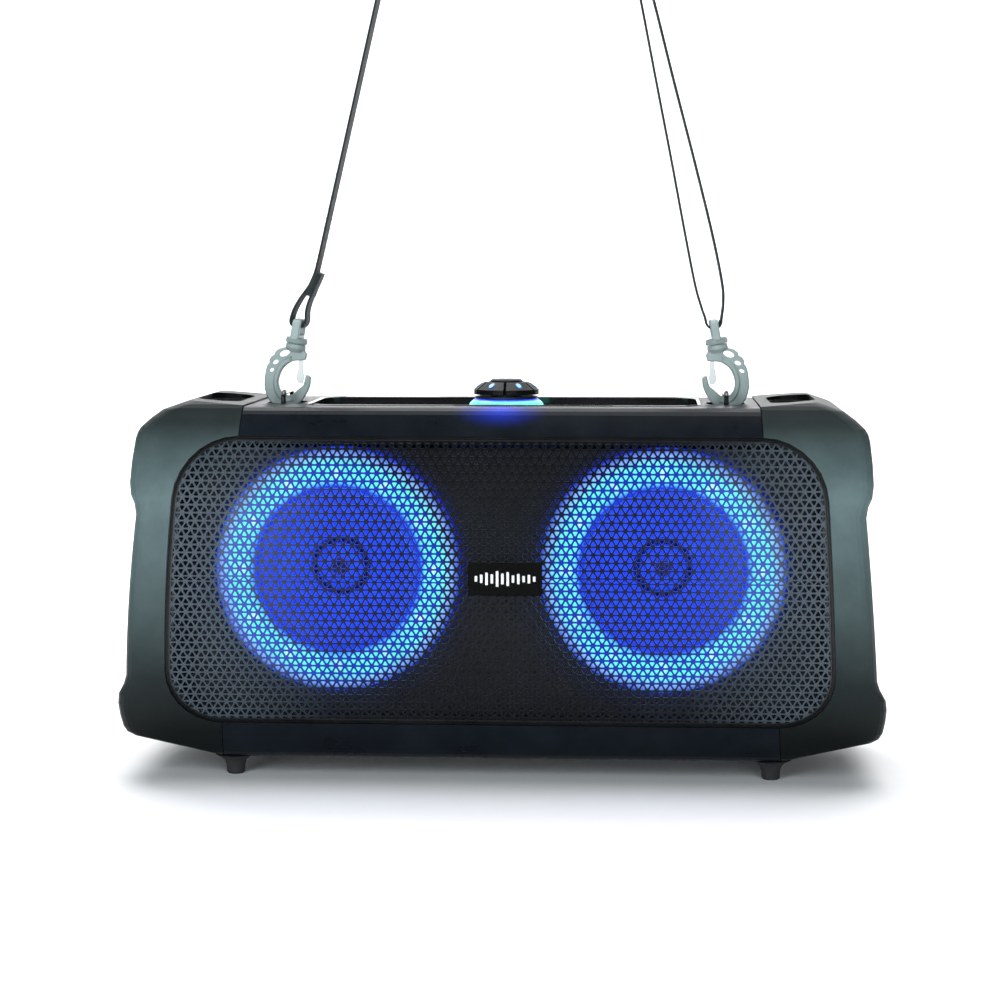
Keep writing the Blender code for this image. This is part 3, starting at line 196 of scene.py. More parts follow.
def light_ring_material(name, centre, inner, outer):
    """Translucent ring lit from within by a row of lamps."""
    made, tree, shader = new_material(name)
    radius, moved = distance_from(tree, centre)
    share = spread(tree, radius, inner, outer)
    colour = ramp(tree, share, [(0.0, BLUE), (0.07, (0.10, 0.55, 1.0)), (0.16, MINT), (0.58, MINT),
                                (0.80, SKY), (1.0, DEEP_BLUE)])
    parts = node(tree, "SeparateXYZ", {0: moved})
    angle = math_node(tree, "ARCTAN2", parts.outputs["X"], parts.outputs["Z"])
    lamps = math_node(tree, "COSINE", math_node(tree, "MULTIPLY", angle, 12.0))
    lamps = spread(tree, lamps, 0.80, 1.0)
    band = ramp(tree, share, [(0.14, 0.0), (0.32, 1.0), (0.55, 0.0)])
    hot = math_node(tree, "MULTIPLY", lamps, band)
    patchy = spread(tree, noise(tree, 30.0, 2.0), 0.35, 0.7, 0.55, 1.0)
    hot = math_node(tree, "MULTIPLY", hot, patchy)
    tree.links.new(mix(tree, hot, colour, WHITE_BLUE), shader.inputs["Emission Color"])
    glow = spread(tree, noise(tree, 55.0, 3.0), 0.3, 0.7, 0.85, 1.2)
    tree.links.new(glow, shader.inputs["Emission Strength"])
    shader.inputs["Base Color"].default_value = (0.05, 0.12, 0.2, 1.0)
    tree.links.new(spread(tree, noise(tree, 400.0), 0.3, 0.7, 0.25, 0.4), shader.inputs["Roughness"])
    return made


def lit_cone_material(name, centre, cap_radius):
    """Woven cone with painted blue light as emission, shaded by the weave, and a dark ring round a glossy dust
    cap.
    """
    made, tree, shader = new_material(name)
    radius, moved = distance_from(tree, centre)
    share = math_node(tree, "DIVIDE", radius, cap_radius * 2.6)
    ring = ramp(tree, share, [(0.0, 0.02), (0.10, 0.04), (0.14, 0.9), (0.31, 0.95),
                              (0.335, 0.03), (0.40, 0.04), (0.43, 1.0), (1.0, 1.0)])
    parts = node(tree, "SeparateXYZ", {0: moved})
    angle = math_node(tree, "ARCTAN2", parts.outputs["X"], parts.outputs["Z"])
    across = math_node(tree, "SINE", math_node(tree, "MULTIPLY", angle, 90.0))
    around = math_node(tree, "SINE", math_node(tree, "MULTIPLY", radius, 5200.0))
    weave = math_node(tree, "MULTIPLY", across, around)
    shade = spread(tree, weave, -1.0, 1.0, 0.78, 1.08)
    # painted blue light: emission over the cone and the dust cap, shaded by the weave
    strength = math_node(tree, "MULTIPLY", math_node(tree, "MULTIPLY", ring, shade), 0.95)
    tree.links.new(strength, shader.inputs["Emission Strength"])
    tone = noise(tree, 60.0, 3.0)
    lamp = mix(tree, spread(tree, tone, 0.3, 0.7), BLUE, (0.02, 0.10, 1.0))
    tree.links.new(lamp, shader.inputs["Emission Color"])
    # base colour: blue where the painted light is, near black in the dark ring and the middle
    tree.links.new(mix(tree, ring, (0.004, 0.004, 0.006), (0.01, 0.03, 0.25)), shader.inputs["Base Color"])
    tree.links.new(spread(tree, share, 0.38, 0.45, 0.12, 0.6), shader.inputs["Roughness"])
    bumps(tree, shader, weave, 0.0001, 0.4)
    return made


def lit_black_material(name, centre, inner, outer, strength):
    """Black part by the ring. The blue light it catches is imitated by emission, from inner to outer."""
    made, tree, shader = new_material(name)
    radius, _ = distance_from(tree, centre)
    share = spread(tree, radius, inner, outer, 1.0, 0.0)
    grain = noise(tree, 900.0, 2.0)
    tree.links.new(math_node(tree, "MULTIPLY", share, strength), shader.inputs["Emission Strength"])
    tree.links.new(mix(tree, grain, BLUE, (0.02, 0.09, 1.0)), shader.inputs["Emission Color"])
    paint = mix(tree, grain, (0.006, 0.007, 0.010), (0.014, 0.015, 0.020))
    tree.links.new(paint, shader.inputs["Base Color"])
    tree.links.new(spread(tree, grain, 0.3, 0.7, 0.42, 0.55), shader.inputs["Roughness"])
    bumps(tree, shader, grain, 0.00008, 0.5)
    return made


def woofer_centre(side_name):
    return middle("woofer_cone_" + side_name)


# painted glow on the sheet: blue emission in a band round each ring, spread from HALO_INNER to HALO_OUTER
HALO = [(0.0, 0.03), (0.10, 0.05), (0.20, 0.42), (0.44, 0.48), (0.54, 0.12), (0.62, 0.01), (1.0, 0.0)]
HALO_INNER = 0.045
HALO_OUTER = 0.092
# painted sheen: the sheet lighter at both ends and nearly black in the middle, across its width
GRILLE_PAINTED_SHEEN = [(0.0, 1.0), (0.10, 0.80), (0.24, 0.10), (0.34, 0.03),
               (0.66, 0.03), (0.78, 0.12), (0.92, 0.75), (1.0, 1.0)]


def grille_material():
    """Satin paint on the sheet. The blue halo and the lighter ends imitate light, by emission and tone."""
    made, tree, shader = new_material("grille_paint_lit")
    glow = None
    for side_name, _ in SIDES:
        radius, _ = distance_from(tree, woofer_centre(side_name))
        far = spread(tree, radius, HALO_INNER, HALO_OUTER)
        halo = ramp(tree, far, HALO)
        glow = halo if glow is None else math_node(tree, "ADD", glow, halo)
    tree.links.new(glow, shader.inputs["Emission Strength"])
    drift = noise(tree, 18.0, 4.0)
    spill = mix(tree, spread(tree, drift, 0.3, 0.7), BLUE, (0.012, 0.075, 1.0))
    tree.links.new(spill, shader.inputs["Emission Color"])
    colour = mix(tree, spread(tree, drift, 0.35, 0.65), (0.050, 0.066, 0.082), (0.070, 0.090, 0.108))
    # painted sheen, lighter towards both ends
    colour = toned(tree, colour, "X", low("grille").x, high("grille").x, GRILLE_PAINTED_SHEEN)
    tree.links.new(colour, shader.inputs["Base Color"])
    speck = noise(tree, 2200.0, 2.0)
    tree.links.new(spread(tree, speck, 0.3, 0.7, 0.26, 0.36), shader.inputs["Roughness"])
    shader.inputs["Specular IOR Level"].default_value = 0.16
    bumps(tree, shader, speck, 0.00004, 0.5)
    return made


def weave_material(name, dark, light, pitch_run, pitch_across, ridge, sheen=0.35):
    """Woven webbing: ribs along the run and short floats across it, from the mesh's own run and across."""
    made, tree, shader = new_material(name)
    run = node(tree, "Attribute", attribute_name="run").outputs["Fac"]
    across = node(tree, "Attribute", attribute_name="across").outputs["Fac"]
    along_wave = math_node(tree, "SINE", math_node(tree, "MULTIPLY", run, 2 * math.pi / pitch_run))
    across_wave = math_node(tree, "SINE", math_node(tree, "MULTIPLY", across, 2 * math.pi / pitch_across))
    floats = math_node(tree, "MULTIPLY", along_wave, across_wave)
    ribs = math_node(tree, "ABSOLUTE", across_wave)
    lifted = math_node(tree, "ADD", math_node(tree, "MULTIPLY", floats, 0.5), ribs)
    fuzz = noise(tree, 3000.0, 2.0)
    height = math_node(tree, "ADD", lifted, math_node(tree, "MULTIPLY", fuzz, 0.5))
    wear = noise(tree, 40.0, 4.0)
    worn = spread(tree, wear, 0.3, 0.7, 0.6, 1.0)
    # painted shade and highlight: darker in the weave's hollows, lighter on its raised threads, varied at
    # random
    share = math_node(tree, "MULTIPLY", spread(tree, height, 0.0, 1.6), worn)
    tree.links.new(mix(tree, share, dark, light), shader.inputs["Base Color"])
    tree.links.new(spread(tree, fuzz, 0.3, 0.7, 0.72, 0.9), shader.inputs["Roughness"])
    shader.inputs["Sheen Weight"].default_value = sheen
    shader.inputs["Sheen Roughness"].default_value = 0.5
    bumps(tree, shader, height, ridge, 0.8)
    return made


def lamp_mark_material(name):
    """Lit marking: mint core and blue rim, by the mesh's own share from centre to edge."""
    made, tree, shader = new_material(name)
    share = node(tree, "Attribute", attribute_name="share").outputs["Fac"]
    colour = ramp(tree, share, [(0.0, WHITE_BLUE), (0.30, MINT), (0.62, MINT), (0.74, BLUE), (1.0, DEEP_BLUE)])
    tree.links.new(colour, shader.inputs["Emission Color"])
    strength = ramp(tree, share, [(0.0, 1.1), (0.6, 1.0), (1.0, 0.5)])
    tree.links.new(strength, shader.inputs["Emission Strength"])
    shader.inputs["Base Color"].default_value = (0.02, 0.05, 0.08, 1.0)
    tree.links.new(spread(tree, noise(tree, 2000.0), 0.3, 0.7, 0.2, 0.35), shader.inputs["Roughness"])
    return made


# ---------------------------------------------------------------- mesh tools

def finish_piece(obj, material, body, smooth=40.0):
    """Shades a new piece, gives it its material and puts it on its body."""
    if material:
        obj.data.materials.append(material)
    obj.data.shade_smooth()
    obj.data.set_sharp_from_angle(angle=math.radians(smooth))
    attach(obj, body)
    return obj


def mesh_object(name, verts, faces):
    mesh = bpy.data.meshes.new(name)
    mesh.from_pydata(verts, [], faces)
    mesh.validate()
    obj = bpy.data.objects.new(name, mesh)
    bpy.context.scene.collection.objects.link(obj)
    return obj


def bmesh_object(name, bm):
    bmesh.ops.recalc_face_normals(bm, faces=bm.faces)
    mesh = bpy.data.meshes.new(name)
    bm.to_mesh(mesh)
    bm.free()
    obj = bpy.data.objects.new(name, mesh)
    bpy.context.scene.collection.objects.link(obj)
    return obj


def smooth_curve(points, steps):
    """Points on a smooth open curve through the given points."""
    ends = [points[0]] + list(points) + [points[-1]]
    curve = []
    for i in range(1, len(ends) - 2):
        p0, p1, p2, p3 = (Vector(p) for p in ends[i - 1:i + 3])
        for k in range(steps):
            t = k / steps
            a = 2 * p1 + (p2 - p0) * t
            b = (2 * p0 - 5 * p1 + 4 * p2 - p3) * t ** 2
            c = (3 * p1 - p0 - 3 * p2 + p3) * t ** 3
            curve.append((a + b + c) / 2)
    curve.append(Vector(points[-1]))
    return curve


def profile_of(name):
    """(height, half width, front) rows of a CAD node that is mirrored about x = 0, from bottom to top."""
    rows = {}
    for vertex in nodes[name].data.vertices:
        key = round(vertex.co.z, 5)
        wide, front = rows.get(key, (0.0, 1.0))
        rows[key] = (max(wide, abs(vertex.co.x)), min(front, vertex.co.y))
    return [(z, *rows[z]) for z in sorted(rows)]


def on_profile(rows, z):
    """Half width and front of a profile at height z."""
    if z <= rows[0][0]:
        return rows[0][1], rows[0][2]
    for (za, wa, fa), (zb, wb, fb) in zip(rows, rows[1:]):
        if z <= zb:
            share = (z - za) / (zb - za)
            return wa + (wb - wa) * share, fa + (fb - fa) * share
    return rows[-1][1], rows[-1][2]


# ---------------------------------------------------------------- perforated front

CELL = 0.00562
ROW = 0.00487
SHORT_ROW = 0.0030
HOLE_SHARE = 0.70
HOLE_BACK_SHARE = 0.61
SHEET = 0.0011


def hole_loop(corners, share):
    """A triangle shrunk towards its centre with its corners rounded: three points a corner."""
    centre = sum(corners, Vector((0.0, 0.0))) / 3
    shrunk = [centre + (c - centre) * share for c in corners]
    loop = []
    for i in range(3):
        before, here, after = shrunk[i - 1], shrunk[i], shrunk[(i + 1) % 3]
        loop.append(here + (before - here) * 0.21)
        loop.append(here + ((before + after) / 2 - here) * 0.13)
        loop.append(here + (after - here) * 0.21)
    return loop


def perforated_front(hole_material):
    """Sheet of up and down triangles, one short row across the middle, trimmed to the CAD outline."""
    rows = profile_of("grille")
    bottom, top = rows[0][0], rows[-1][0]
    middle_row = middle("badge_plate").z - 0.0015
    levels = [middle_row - SHORT_ROW / 2, middle_row + SHORT_ROW / 2]
    while levels[0] > bottom:
        levels.insert(0, levels[0] - ROW)
    while levels[-1] < top:
        levels.append(levels[-1] + ROW)
    widest = max(w for _, w, _ in rows)
    columns = int(widest / CELL) + 2
    verts, faces, index = [], [], {}

    def place(point, back):
        z = min(max(point.y, bottom + 0.0002), top - 0.0002)
        wide, front = on_profile(rows, z)
        x = min(max(point.x, 0.0002 - wide), wide - 0.0002)
        key = (round(x, 6), round(z, 6), back)
        if key not in index:
            index[key] = len(verts)
            verts.append((x, front + 0.00005 + (SHEET if back else 0.0), z))
        return index[key]

    def inside(point):
        wide, _ = on_profile(rows, point.y)
        return bottom < point.y < top and abs(point.x) < wide

    for r, (z0, z1) in enumerate(zip(levels, levels[1:])):
        odd = r % 2
        for k in range(-columns, columns + 1):
            x = (k + 0.5 * odd) * CELL
            up = [Vector((x, z0)), Vector((x + CELL, z0)), Vector((x + CELL / 2, z1))]
            down = [Vector((x + CELL / 2, z1)), Vector((x + CELL, z0)), Vector((x + CELL * 1.5, z1))]
            for corners in (up, down):
                if not any(inside(c) for c in corners):
                    continue
                outer = []
                for i in range(3):
                    before, here, after = corners[i - 1], corners[i], corners[(i + 1) % 3]
                    outer += [here + (before - here) / 3, here, here + (after - here) / 3]
                inner = hole_loop(corners, HOLE_SHARE)
                deep = hole_loop(corners, HOLE_BACK_SHARE)
                a = [place(p, False) for p in outer]
                b = [place(p, False) for p in inner]
                c = [place(p, True) for p in deep]
                for i in range(9):
                    j = (i + 1) % 9
                    faces.append((a[i], a[j], b[j], b[i]))
                    faces.append((b[i], b[j], c[j], c[i]))
    clean = []
    seen = set()
    for face in faces:
        ring = [v for i, v in enumerate(face) if v != face[i - 1]]
        key = tuple(sorted(ring))
        if len(set(ring)) == len(ring) >= 3 and key not in seen:
            seen.add(key)
            clean.append(ring)
    sheet = mesh_object("front_mesh", verts, clean)
    deep = {number for (_, _, back), number in index.items() if back}
    for polygon in sheet.data.polygons:
        if deep.intersection(polygon.vertices):
            polygon.material_index = 1
    finish_piece(sheet, grille_material(), "speaker", 25.0)
    sheet.data.materials.append(hole_material)
    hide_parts("grille")
    return rows


def front_edge(rows, material):
    """The sheet's folded edge: a narrow face round the outline, turned back into the body."""
    outline = [Vector((-w, z)) for z, w, _ in rows] + [Vector((w, z)) for z, w, _ in reversed(rows)]
    bands = [(0.0012, 0.0), (0.0003, 0.0), (0.0, 0.0003), (0.0, 0.0035)]
    verts, faces = [], []
    count, width = len(outline), len(bands)
    for i, point in enumerate(outline):
        along = (outline[(i + 1) % count] - outline[i - 1]).normalized()
        inward = Vector((along.y, -along.x))
        for inset, depth in bands:
            x, z = point + inward * inset
            verts.append((x, on_profile(rows, z)[1] - 0.0001 + depth, z))
    for i in range(count):
        k = (i + 1) % count
        for b in range(width - 1):
            faces.append((i * width + b, k * width + b, k * width + b + 1, i * width + b + 1))
    return finish_piece(mesh_object("front_mesh_edge", verts, faces), material, "speaker")


# ---------------------------------------------------------------- strap

# x and height above the flat top, from the sewn end over the shoulder to the slider
STRAP_ROUTE = [
    (-0.1196, 0.0817), (-0.1239, 0.0722), (-0.1272, 0.0642), (-0.1286, 0.0587), (-0.1288, 0.0537),
    (-0.1295, 0.0510), (-0.1314, 0.0489), (-0.1344, 0.0491), (-0.1373, 0.0498), (-0.1387, 0.0521),
    (-0.1382, 0.0558), (-0.1360, 0.0614), (-0.1322, 0.0677), (-0.1274, 0.0742), (-0.1231, 0.0817),
    (-0.1127, 0.1252), (-0.0985, 0.1862), (-0.0819, 0.2577), (-0.0778, 0.2732), (-0.0679, 0.2907),
    (-0.0502, 0.3092), (-0.0256, 0.3232), (0.0059, 0.3282), (0.0374, 0.3232), (0.0620, 0.3092),
    (0.0788, 0.2917), (0.0886, 0.2742), (0.0940, 0.2577), (0.1073, 0.2062), (0.1206, 0.1562),
    (0.1325, 0.1092), (0.1392, 0.0772), (0.1400, 0.0652), (0.1394, 0.0582), (0.1387, 0.0532),
    (0.1373, 0.0498), (0.1344, 0.0491), (0.1314, 0.0489), (0.1295, 0.0510), (0.1284, 0.0552),
    (0.1258, 0.0627), (0.1217, 0.0772), (0.1152, 0.1092), (0.1061, 0.1562), (0.0961, 0.2062),
    (0.0859, 0.2577), (0.0833, 0.2682),
]
STRAP_WIDTH = 0.0200
STRAP_THICKNESS = 0.0014


def weave_places(obj, run_values, across_values):
    """Stores each point's place along and across the cloth, which the weave is drawn from."""
    for label, values in (("run", run_values), ("across", across_values)):
        attribute = obj.data.attributes.new(label, "FLOAT", "POINT")
        attribute.data.foreach_set("value", values)


def strap_line():
    """The middle of the webbing, as smooth (x, z) points."""
    top = high("top_panel").z
    return smooth_curve([(x, top + rise) for x, rise in STRAP_ROUTE], 8)


def ribbon(name, route, width, thickness):
    """A flat band with rounded selvedges along (x, z) points, carrying its run and across as attributes."""
    half, thick = width / 2, thickness / 2
    top_side = (-half + thick * 0.6, -half * 0.5, 0.0, half * 0.5, half - thick * 0.6)
    section = [(-half, 0.0)] + [(y, thick) for y in top_side]
    section += [(half, 0.0)] + [(y, -thick) for y in reversed(top_side)]
    verts, faces, run_values, across_values = [], [], [], []
    run = 0.0
    count = len(section)
    for i, point in enumerate(route):
        before, after = route[max(i - 1, 0)], route[min(i + 1, len(route) - 1)]
        along = (after - before).normalized()
        normal = Vector((-along.y, along.x))
        if i:
            run += (point - route[i - 1]).length
        for across, lift in section:
            x, z = point + normal * lift
            verts.append((x, across, z))
            run_values.append(run)
            across_values.append(across)
        if i:
            for k in range(count):
                j = (k + 1) % count
                base = (i - 1) * count
                faces.append((base + k, base + j, base + count + j, base + count + k))
    faces.append(list(range(count)))
    faces.append(list(range(len(verts) - count, len(verts)))[::-1])
    band = mesh_object(name, verts, faces)
    weave_places(band, run_values, across_values)
    return band, run


def strap(webbing):
    """The webbing, as one band over the whole route."""
    route = strap_line()
    band, length = ribbon("strap_band", route, STRAP_WIDTH, STRAP_THICKNESS)
    finish_piece(band, webbing, "speaker", 50.0)
    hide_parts("strap_webbing")
    path = [(p.x, 0.0, p.y) for p in route]
    return band, path, length


# ---------------------------------------------------------------- shoulder pad

PAD_CENTRE = (0.0059, 0.2362)
PAD_RADIUS = 0.0888
PAD_THICKNESS = 0.0072
PAD_HALF_WIDTH = 0.0218
PAD_SPAN = 45.0


def shoulder_pad(padding):
    """A stuffed pad under the strap, quilted across."""
    cx, cz = PAD_CENTRE[0], high("top_panel").z + PAD_CENTRE[1]
    steps, around = 96, 28
    verts, faces, run_values, across_values = [], [], [], []
    for i in range(steps + 1):
        share = 2 * i / steps - 1
        angle = math.radians(90 + PAD_SPAN * share)
        end = math.sqrt(max(1 - abs(share) ** 10, 0.0)) * 0.92 + 0.08
        quilt = 1.0 - 0.16 * math.exp(-((share * 6) % 1.0 - 0.5) ** 2 / 0.006)
        for k in range(around):
            turn = 2 * math.pi * k / around
            c, sn = math.cos(turn), math.sin(turn)
            across = PAD_HALF_WIDTH * math.copysign(abs(c) ** 0.45, c) * end
            lift = PAD_THICKNESS / 2 * math.copysign(abs(sn) ** 0.7, sn) * end * quilt
            radius = PAD_RADIUS - PAD_THICKNESS / 2 + lift
            verts.append((cx + radius * math.cos(angle), across, cz + radius * math.sin(angle)))
            run_values.append(math.radians(PAD_SPAN) * (share + 1) * PAD_RADIUS)
            across_values.append(across)
    for i in range(steps):
        for k in range(around):
            j = (k + 1) % around
            faces.append((i * around + k, i * around + j, (i + 1) * around + j, (i + 1) * around + k))
    faces.append(list(range(around))[::-1])
    faces.append(list(range(steps * around, (steps + 1) * around)))
    pad = mesh_object("strap_pad", verts, faces)
    weave_places(pad, run_values, across_values)
    finish_piece(pad, padding, "speaker", 60.0)
    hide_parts("shoulder_pad")
    return pad


# along the stitch, height and width of each ring of points, as shares of its own size
STITCH_RINGS = ((-1.0, -0.3, 0.4), (-0.7, 0.6, 0.9), (0.0, 1.0, 1.0), (0.7, 0.6, 0.9), (1.0, -0.3, 0.4))
STITCH_LENGTH = 0.0022
STITCH_WIDTH = 0.0007
SEAM_OFFSET = 0.0078
KEEPER_THICKNESS = 0.0052
KEEPER_MARGIN = 0.0012
KEEPER_ROUTE = [(-0.1270, 0.0690), (-0.1248, 0.0745), (-0.1222, 0.0800), (-0.1207, 0.0838)]


def stitches(name, places, along, across, material):
    """Short thread stitches lying on a surface: places are (point, normal)."""
    bm = bmesh.new()
    for point, normal, direction in places:
        side = normal.cross(direction).normalized()
        rings = []
        for t, lift, wide in STITCH_RINGS:
            centre = point + direction * (along / 2 * t)
            rings.append([bm.verts.new(centre + side * (across / 2 * wide * math.cos(a))
                                       + normal * (across / 2 * (lift * 0.6 + 0.5 * wide * math.sin(a))))
                          for a in (2 * math.pi * k / 6 for k in range(6))])
        for one, two in zip(rings, rings[1:]):
            for k in range(6):
                j = (k + 1) % 6
                bm.faces.new((one[k], one[j], two[j], two[k]))
        bm.faces.new(rings[0])
        bm.faces.new(rings[-1])
    return finish_piece(bmesh_object(name, bm), material, "speaker")


def strap_keeper(material):
    """A bound sleeve round the webbing and its sewn-back end."""
    top = high("top_panel").z
    line = smooth_curve([(x, top + rise) for x, rise in KEEPER_ROUTE], 6)
    sleeve, _ = ribbon("strap_keeper", line, STRAP_WIDTH + KEEPER_MARGIN, KEEPER_THICKNESS)
    return finish_piece(sleeve, material, "speaker", 50.0)


def strap_stitching(material):
    """Two rows of stitches on both faces of the webbing, above each hook."""
    route = strap_line()
    places = []
    for first, last in ((108, 124), (len(route) - 96, len(route) - 80)):
        for index in range(first, last):
            point, after = route[index], route[index + 1]
            direction = Vector((after.x - point.x, 0.0, after.y - point.y)).normalized()
            for face in (-1, 1):
                normal = Vector((-direction.z, 0.0, direction.x)) * face
                for y in (-SEAM_OFFSET, SEAM_OFFSET):
                    spot = Vector((point.x, y, point.y)) + normal * STRAP_THICKNESS / 2
                    places.append((spot, normal, direction))
    return stitches("strap_stitches", places, STITCH_LENGTH, STITCH_WIDTH, material)


# ---------------------------------------------------------------- small parts

def on_surface(name, origin, direction):
    """Where a line meets a CAD node, and the surface's direction there."""
    hit, place, normal, _ = nodes[name].ray_cast(Vector(origin), Vector(direction))
    if not hit:
        raise ValueError(f"{name} isn't met from {tuple(origin)}")
    return place, normal


def screw(name, place, normal, radius, material, body="speaker"):
    """A pan head with a cross recess, seated on a surface."""
    bm = bmesh.new()
    height = radius * 0.42
    rim = [(radius * math.cos(a), radius * math.sin(a)) for a in (2 * math.pi * k / 28 for k in range(28))]
    levels = [(1.0, -0.0004), (1.0, height * 0.35), (0.93, height * 0.75), (0.78, height)]
    rings = [[bm.verts.new((x * scale, y * scale, z)) for x, y in rim] for scale, z in levels]
    for one, two in zip(rings, rings[1:]):
        for k in range(28):
            j = (k + 1) % 28
            bm.faces.new((one[k], one[j], two[j], two[k]))
    long, thin = radius * 0.52, radius * 0.13
    cross = [(thin, thin), (thin, long), (-thin, long), (-thin, thin), (-long, thin), (-long, -thin),
             (-thin, -thin), (-thin, -long), (thin, -long), (thin, -thin), (long, -thin), (long, thin)]
    upper = [bm.verts.new((x, y, height)) for x, y in cross]
    lower = [bm.verts.new((x * 0.8, y * 0.8, height - radius * 0.5)) for x, y in cross]
    edges = [bm.edges.get((rings[-1][k], rings[-1][(k + 1) % 28])) for k in range(28)]
    edges += [bm.edges.new((upper[k], upper[(k + 1) % 12])) for k in range(12)]
    bmesh.ops.triangle_fill(bm, edges=edges, use_beauty=True)
    for k in range(12):
        j = (k + 1) % 12
        bm.faces.new((upper[k], upper[j], lower[j], lower[k]))
    bm.faces.new(lower)
    turn = normal.to_track_quat("Z", "Y").to_matrix().to_4x4()
    bmesh.ops.transform(bm, matrix=Matrix.Translation(place) @ turn, verts=bm.verts)
    return finish_piece(bmesh_object(name, bm), material, body, 30.0)


def screws(material):
    """Screws that hold the rear cover, the base plate and the end caps' backs."""
    back = low("rear_cover"), high("rear_cover")
    reach = back[1].x - 0.024
    heights = (back[0].z + 0.014, middle("rear_cover").z, back[1].z - 0.014)
    count = 0
    for z in heights:
        for x in (-reach, reach):
            place, normal = on_surface("rear_cover", (x, 0.3, z), (0, -1, 0))
            screw(f"cover_screw_{count}", place, normal, 0.0034, material)
            count += 1
    for x in (-0.055, 0.055):
        place, normal = on_surface("rear_cover", (x, 0.3, heights[2]), (0, -1, 0))
        screw(f"cover_screw_{count}", place, normal, 0.0034, material)
        count += 1
    for x in (-0.12, 0.0, 0.12):
        for y in (low("base_plate").y + 0.02, high("base_plate").y - 0.02):
            place, normal = on_surface("base_plate", (x, y, -0.1), (0, 0, 1))
            screw(f"base_screw_{count}", place, normal, 0.0034, material)
            count += 1
    for side_name, side in SIDES:
        for z in (low("end_cap_" + side_name).z + 0.05, middle("end_cap_" + side_name).z + 0.04):
            place, normal = on_surface("end_cap_" + side_name, (side * 0.198, 0.3, z), (0, -1, 0))
            screw(f"cap_screw_{count}", place, normal, 0.0034, material)
            count += 1


def rounded_slab(bm, centre, size, thickness, corner, axis_y=-1):
    """A thin raised block facing -Y (or +Y), with round corners and an eased edge."""
    cx, cy, cz = centre
    half_x, half_z = size[0] / 2 - corner, size[1] / 2 - corner
    outline = []
    for sx, sz, start in ((1, -1, -90), (1, 1, 0), (-1, 1, 90), (-1, -1, 180)):
        for k in range(5):
            a = math.radians(start + 90 * k / 4)
            outline.append((sx * half_x, sz * half_z, math.cos(a), math.sin(a)))
    ease = min(corner, thickness) * 0.5
    rings = []
    for reach, lift in ((corner, 0.0), (corner, thickness - ease), (corner - ease, thickness)):
        rings.append([bm.verts.new((cx + ox + c * reach, cy + axis_y * lift, cz + oz + s * reach))
                      for ox, oz, c, s in outline])
    for one, two in zip(rings, rings[1:]):
        for k in range(len(outline)):
            j = (k + 1) % len(outline)
            bm.faces.new((one[k], one[j], two[j], two[k]))
    bm.faces.new(rings[-1])
    bm.faces.new(rings[0])


def badge_mark(material):
    """A generic level-meter mark in place of lettering."""
    lowest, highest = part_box("badge_plate")
    centre = (lowest + highest) / 2
    bm = bmesh.new()
    levels = (0.30, 0.48, 0.78, 0.55, 1.0, 0.66, 0.88, 0.42, 0.62, 0.34, 0.50, 0.26)
    pitch = (highest.x - lowest.x) * 0.86 / len(levels)
    for i, level in enumerate(levels):
        x = centre.x + (i - (len(levels) - 1) / 2) * pitch
        tall = (highest.z - lowest.z) * 0.42 * level
        rounded_slab(bm, (x, lowest.y + 0.00005, centre.z), (pitch * 0.52, tall + 0.001), 0.0002, 0.0004)
    return finish_piece(bmesh_object("badge_mark", bm), material, "speaker")


KEY_MARK_RADIUS = 0.0176
KEY_MARK_RISE = 0.0059
KEY_SLOPE = math.radians(35.5)
KEY_MARK_HALVES = (0.0020, 0.0029)
POWER_MARK = 0.0022


def lit_oval(name, place, normal, up, half_wide, half_tall, material, body):
    """A raised oval lamp with a share attribute, 0 in the middle and 1 at the edge."""
    side = up.cross(normal).normalized()
    bm = bmesh.new()
    layer = bm.verts.layers.float.new("share")
    rings = []
    for share, lift in ((1.0, -0.0002), (1.0, 0.00015), (0.8, 0.0003), (0.5, 0.0004), (0.25, 0.0004)):
        ring = []
        for k in range(24):
            a = 2 * math.pi * k / 24
            across = side * (half_wide * share * math.cos(a))
            upward = up * (half_tall * share * math.sin(a))
            vert = bm.verts.new(place + across + upward + normal * lift)
            vert[layer] = share
            ring.append(vert)
        rings.append(ring)
    for one, two in zip(rings, rings[1:]):
        for k in range(24):
            j = (k + 1) % 24
            bm.faces.new((one[k], one[j], two[j], two[k]))
    bm.faces.new(rings[-1])
    bm.faces.new(rings[0])
    return finish_piece(bmesh_object(name, bm), material, body)


def key_marks(material):
    """A lamp window in the sloping face of every key, and one on the power button."""
    base = low("control_key_1").z
    centre = middle("control_housing")
    for index in range(6):
        angle = math.radians(-60 + 60 * index)
        outward = Vector((math.cos(angle), math.sin(angle), 0.0))
        normal = outward * math.sin(KEY_SLOPE) + Vector((0, 0, math.cos(KEY_SLOPE)))
        up = Vector((0, 0, math.sin(KEY_SLOPE))) - outward * math.cos(KEY_SLOPE)
        place = Vector((centre.x, centre.y, base + KEY_MARK_RISE)) + outward * KEY_MARK_RADIUS
        body = f"control_key_{index + 1}"
        lit_oval(f"key_lamp_{index + 1}", place, normal, up, *KEY_MARK_HALVES, material, body)
    button = middle("power_button")
    top = Vector((button.x, button.y, high("power_button").z - 0.0001))
    lit_oval("power_lamp", top, Vector((0, 0, 1)), Vector((0, 1, 0)), POWER_MARK, POWER_MARK, material,
             "power_button")


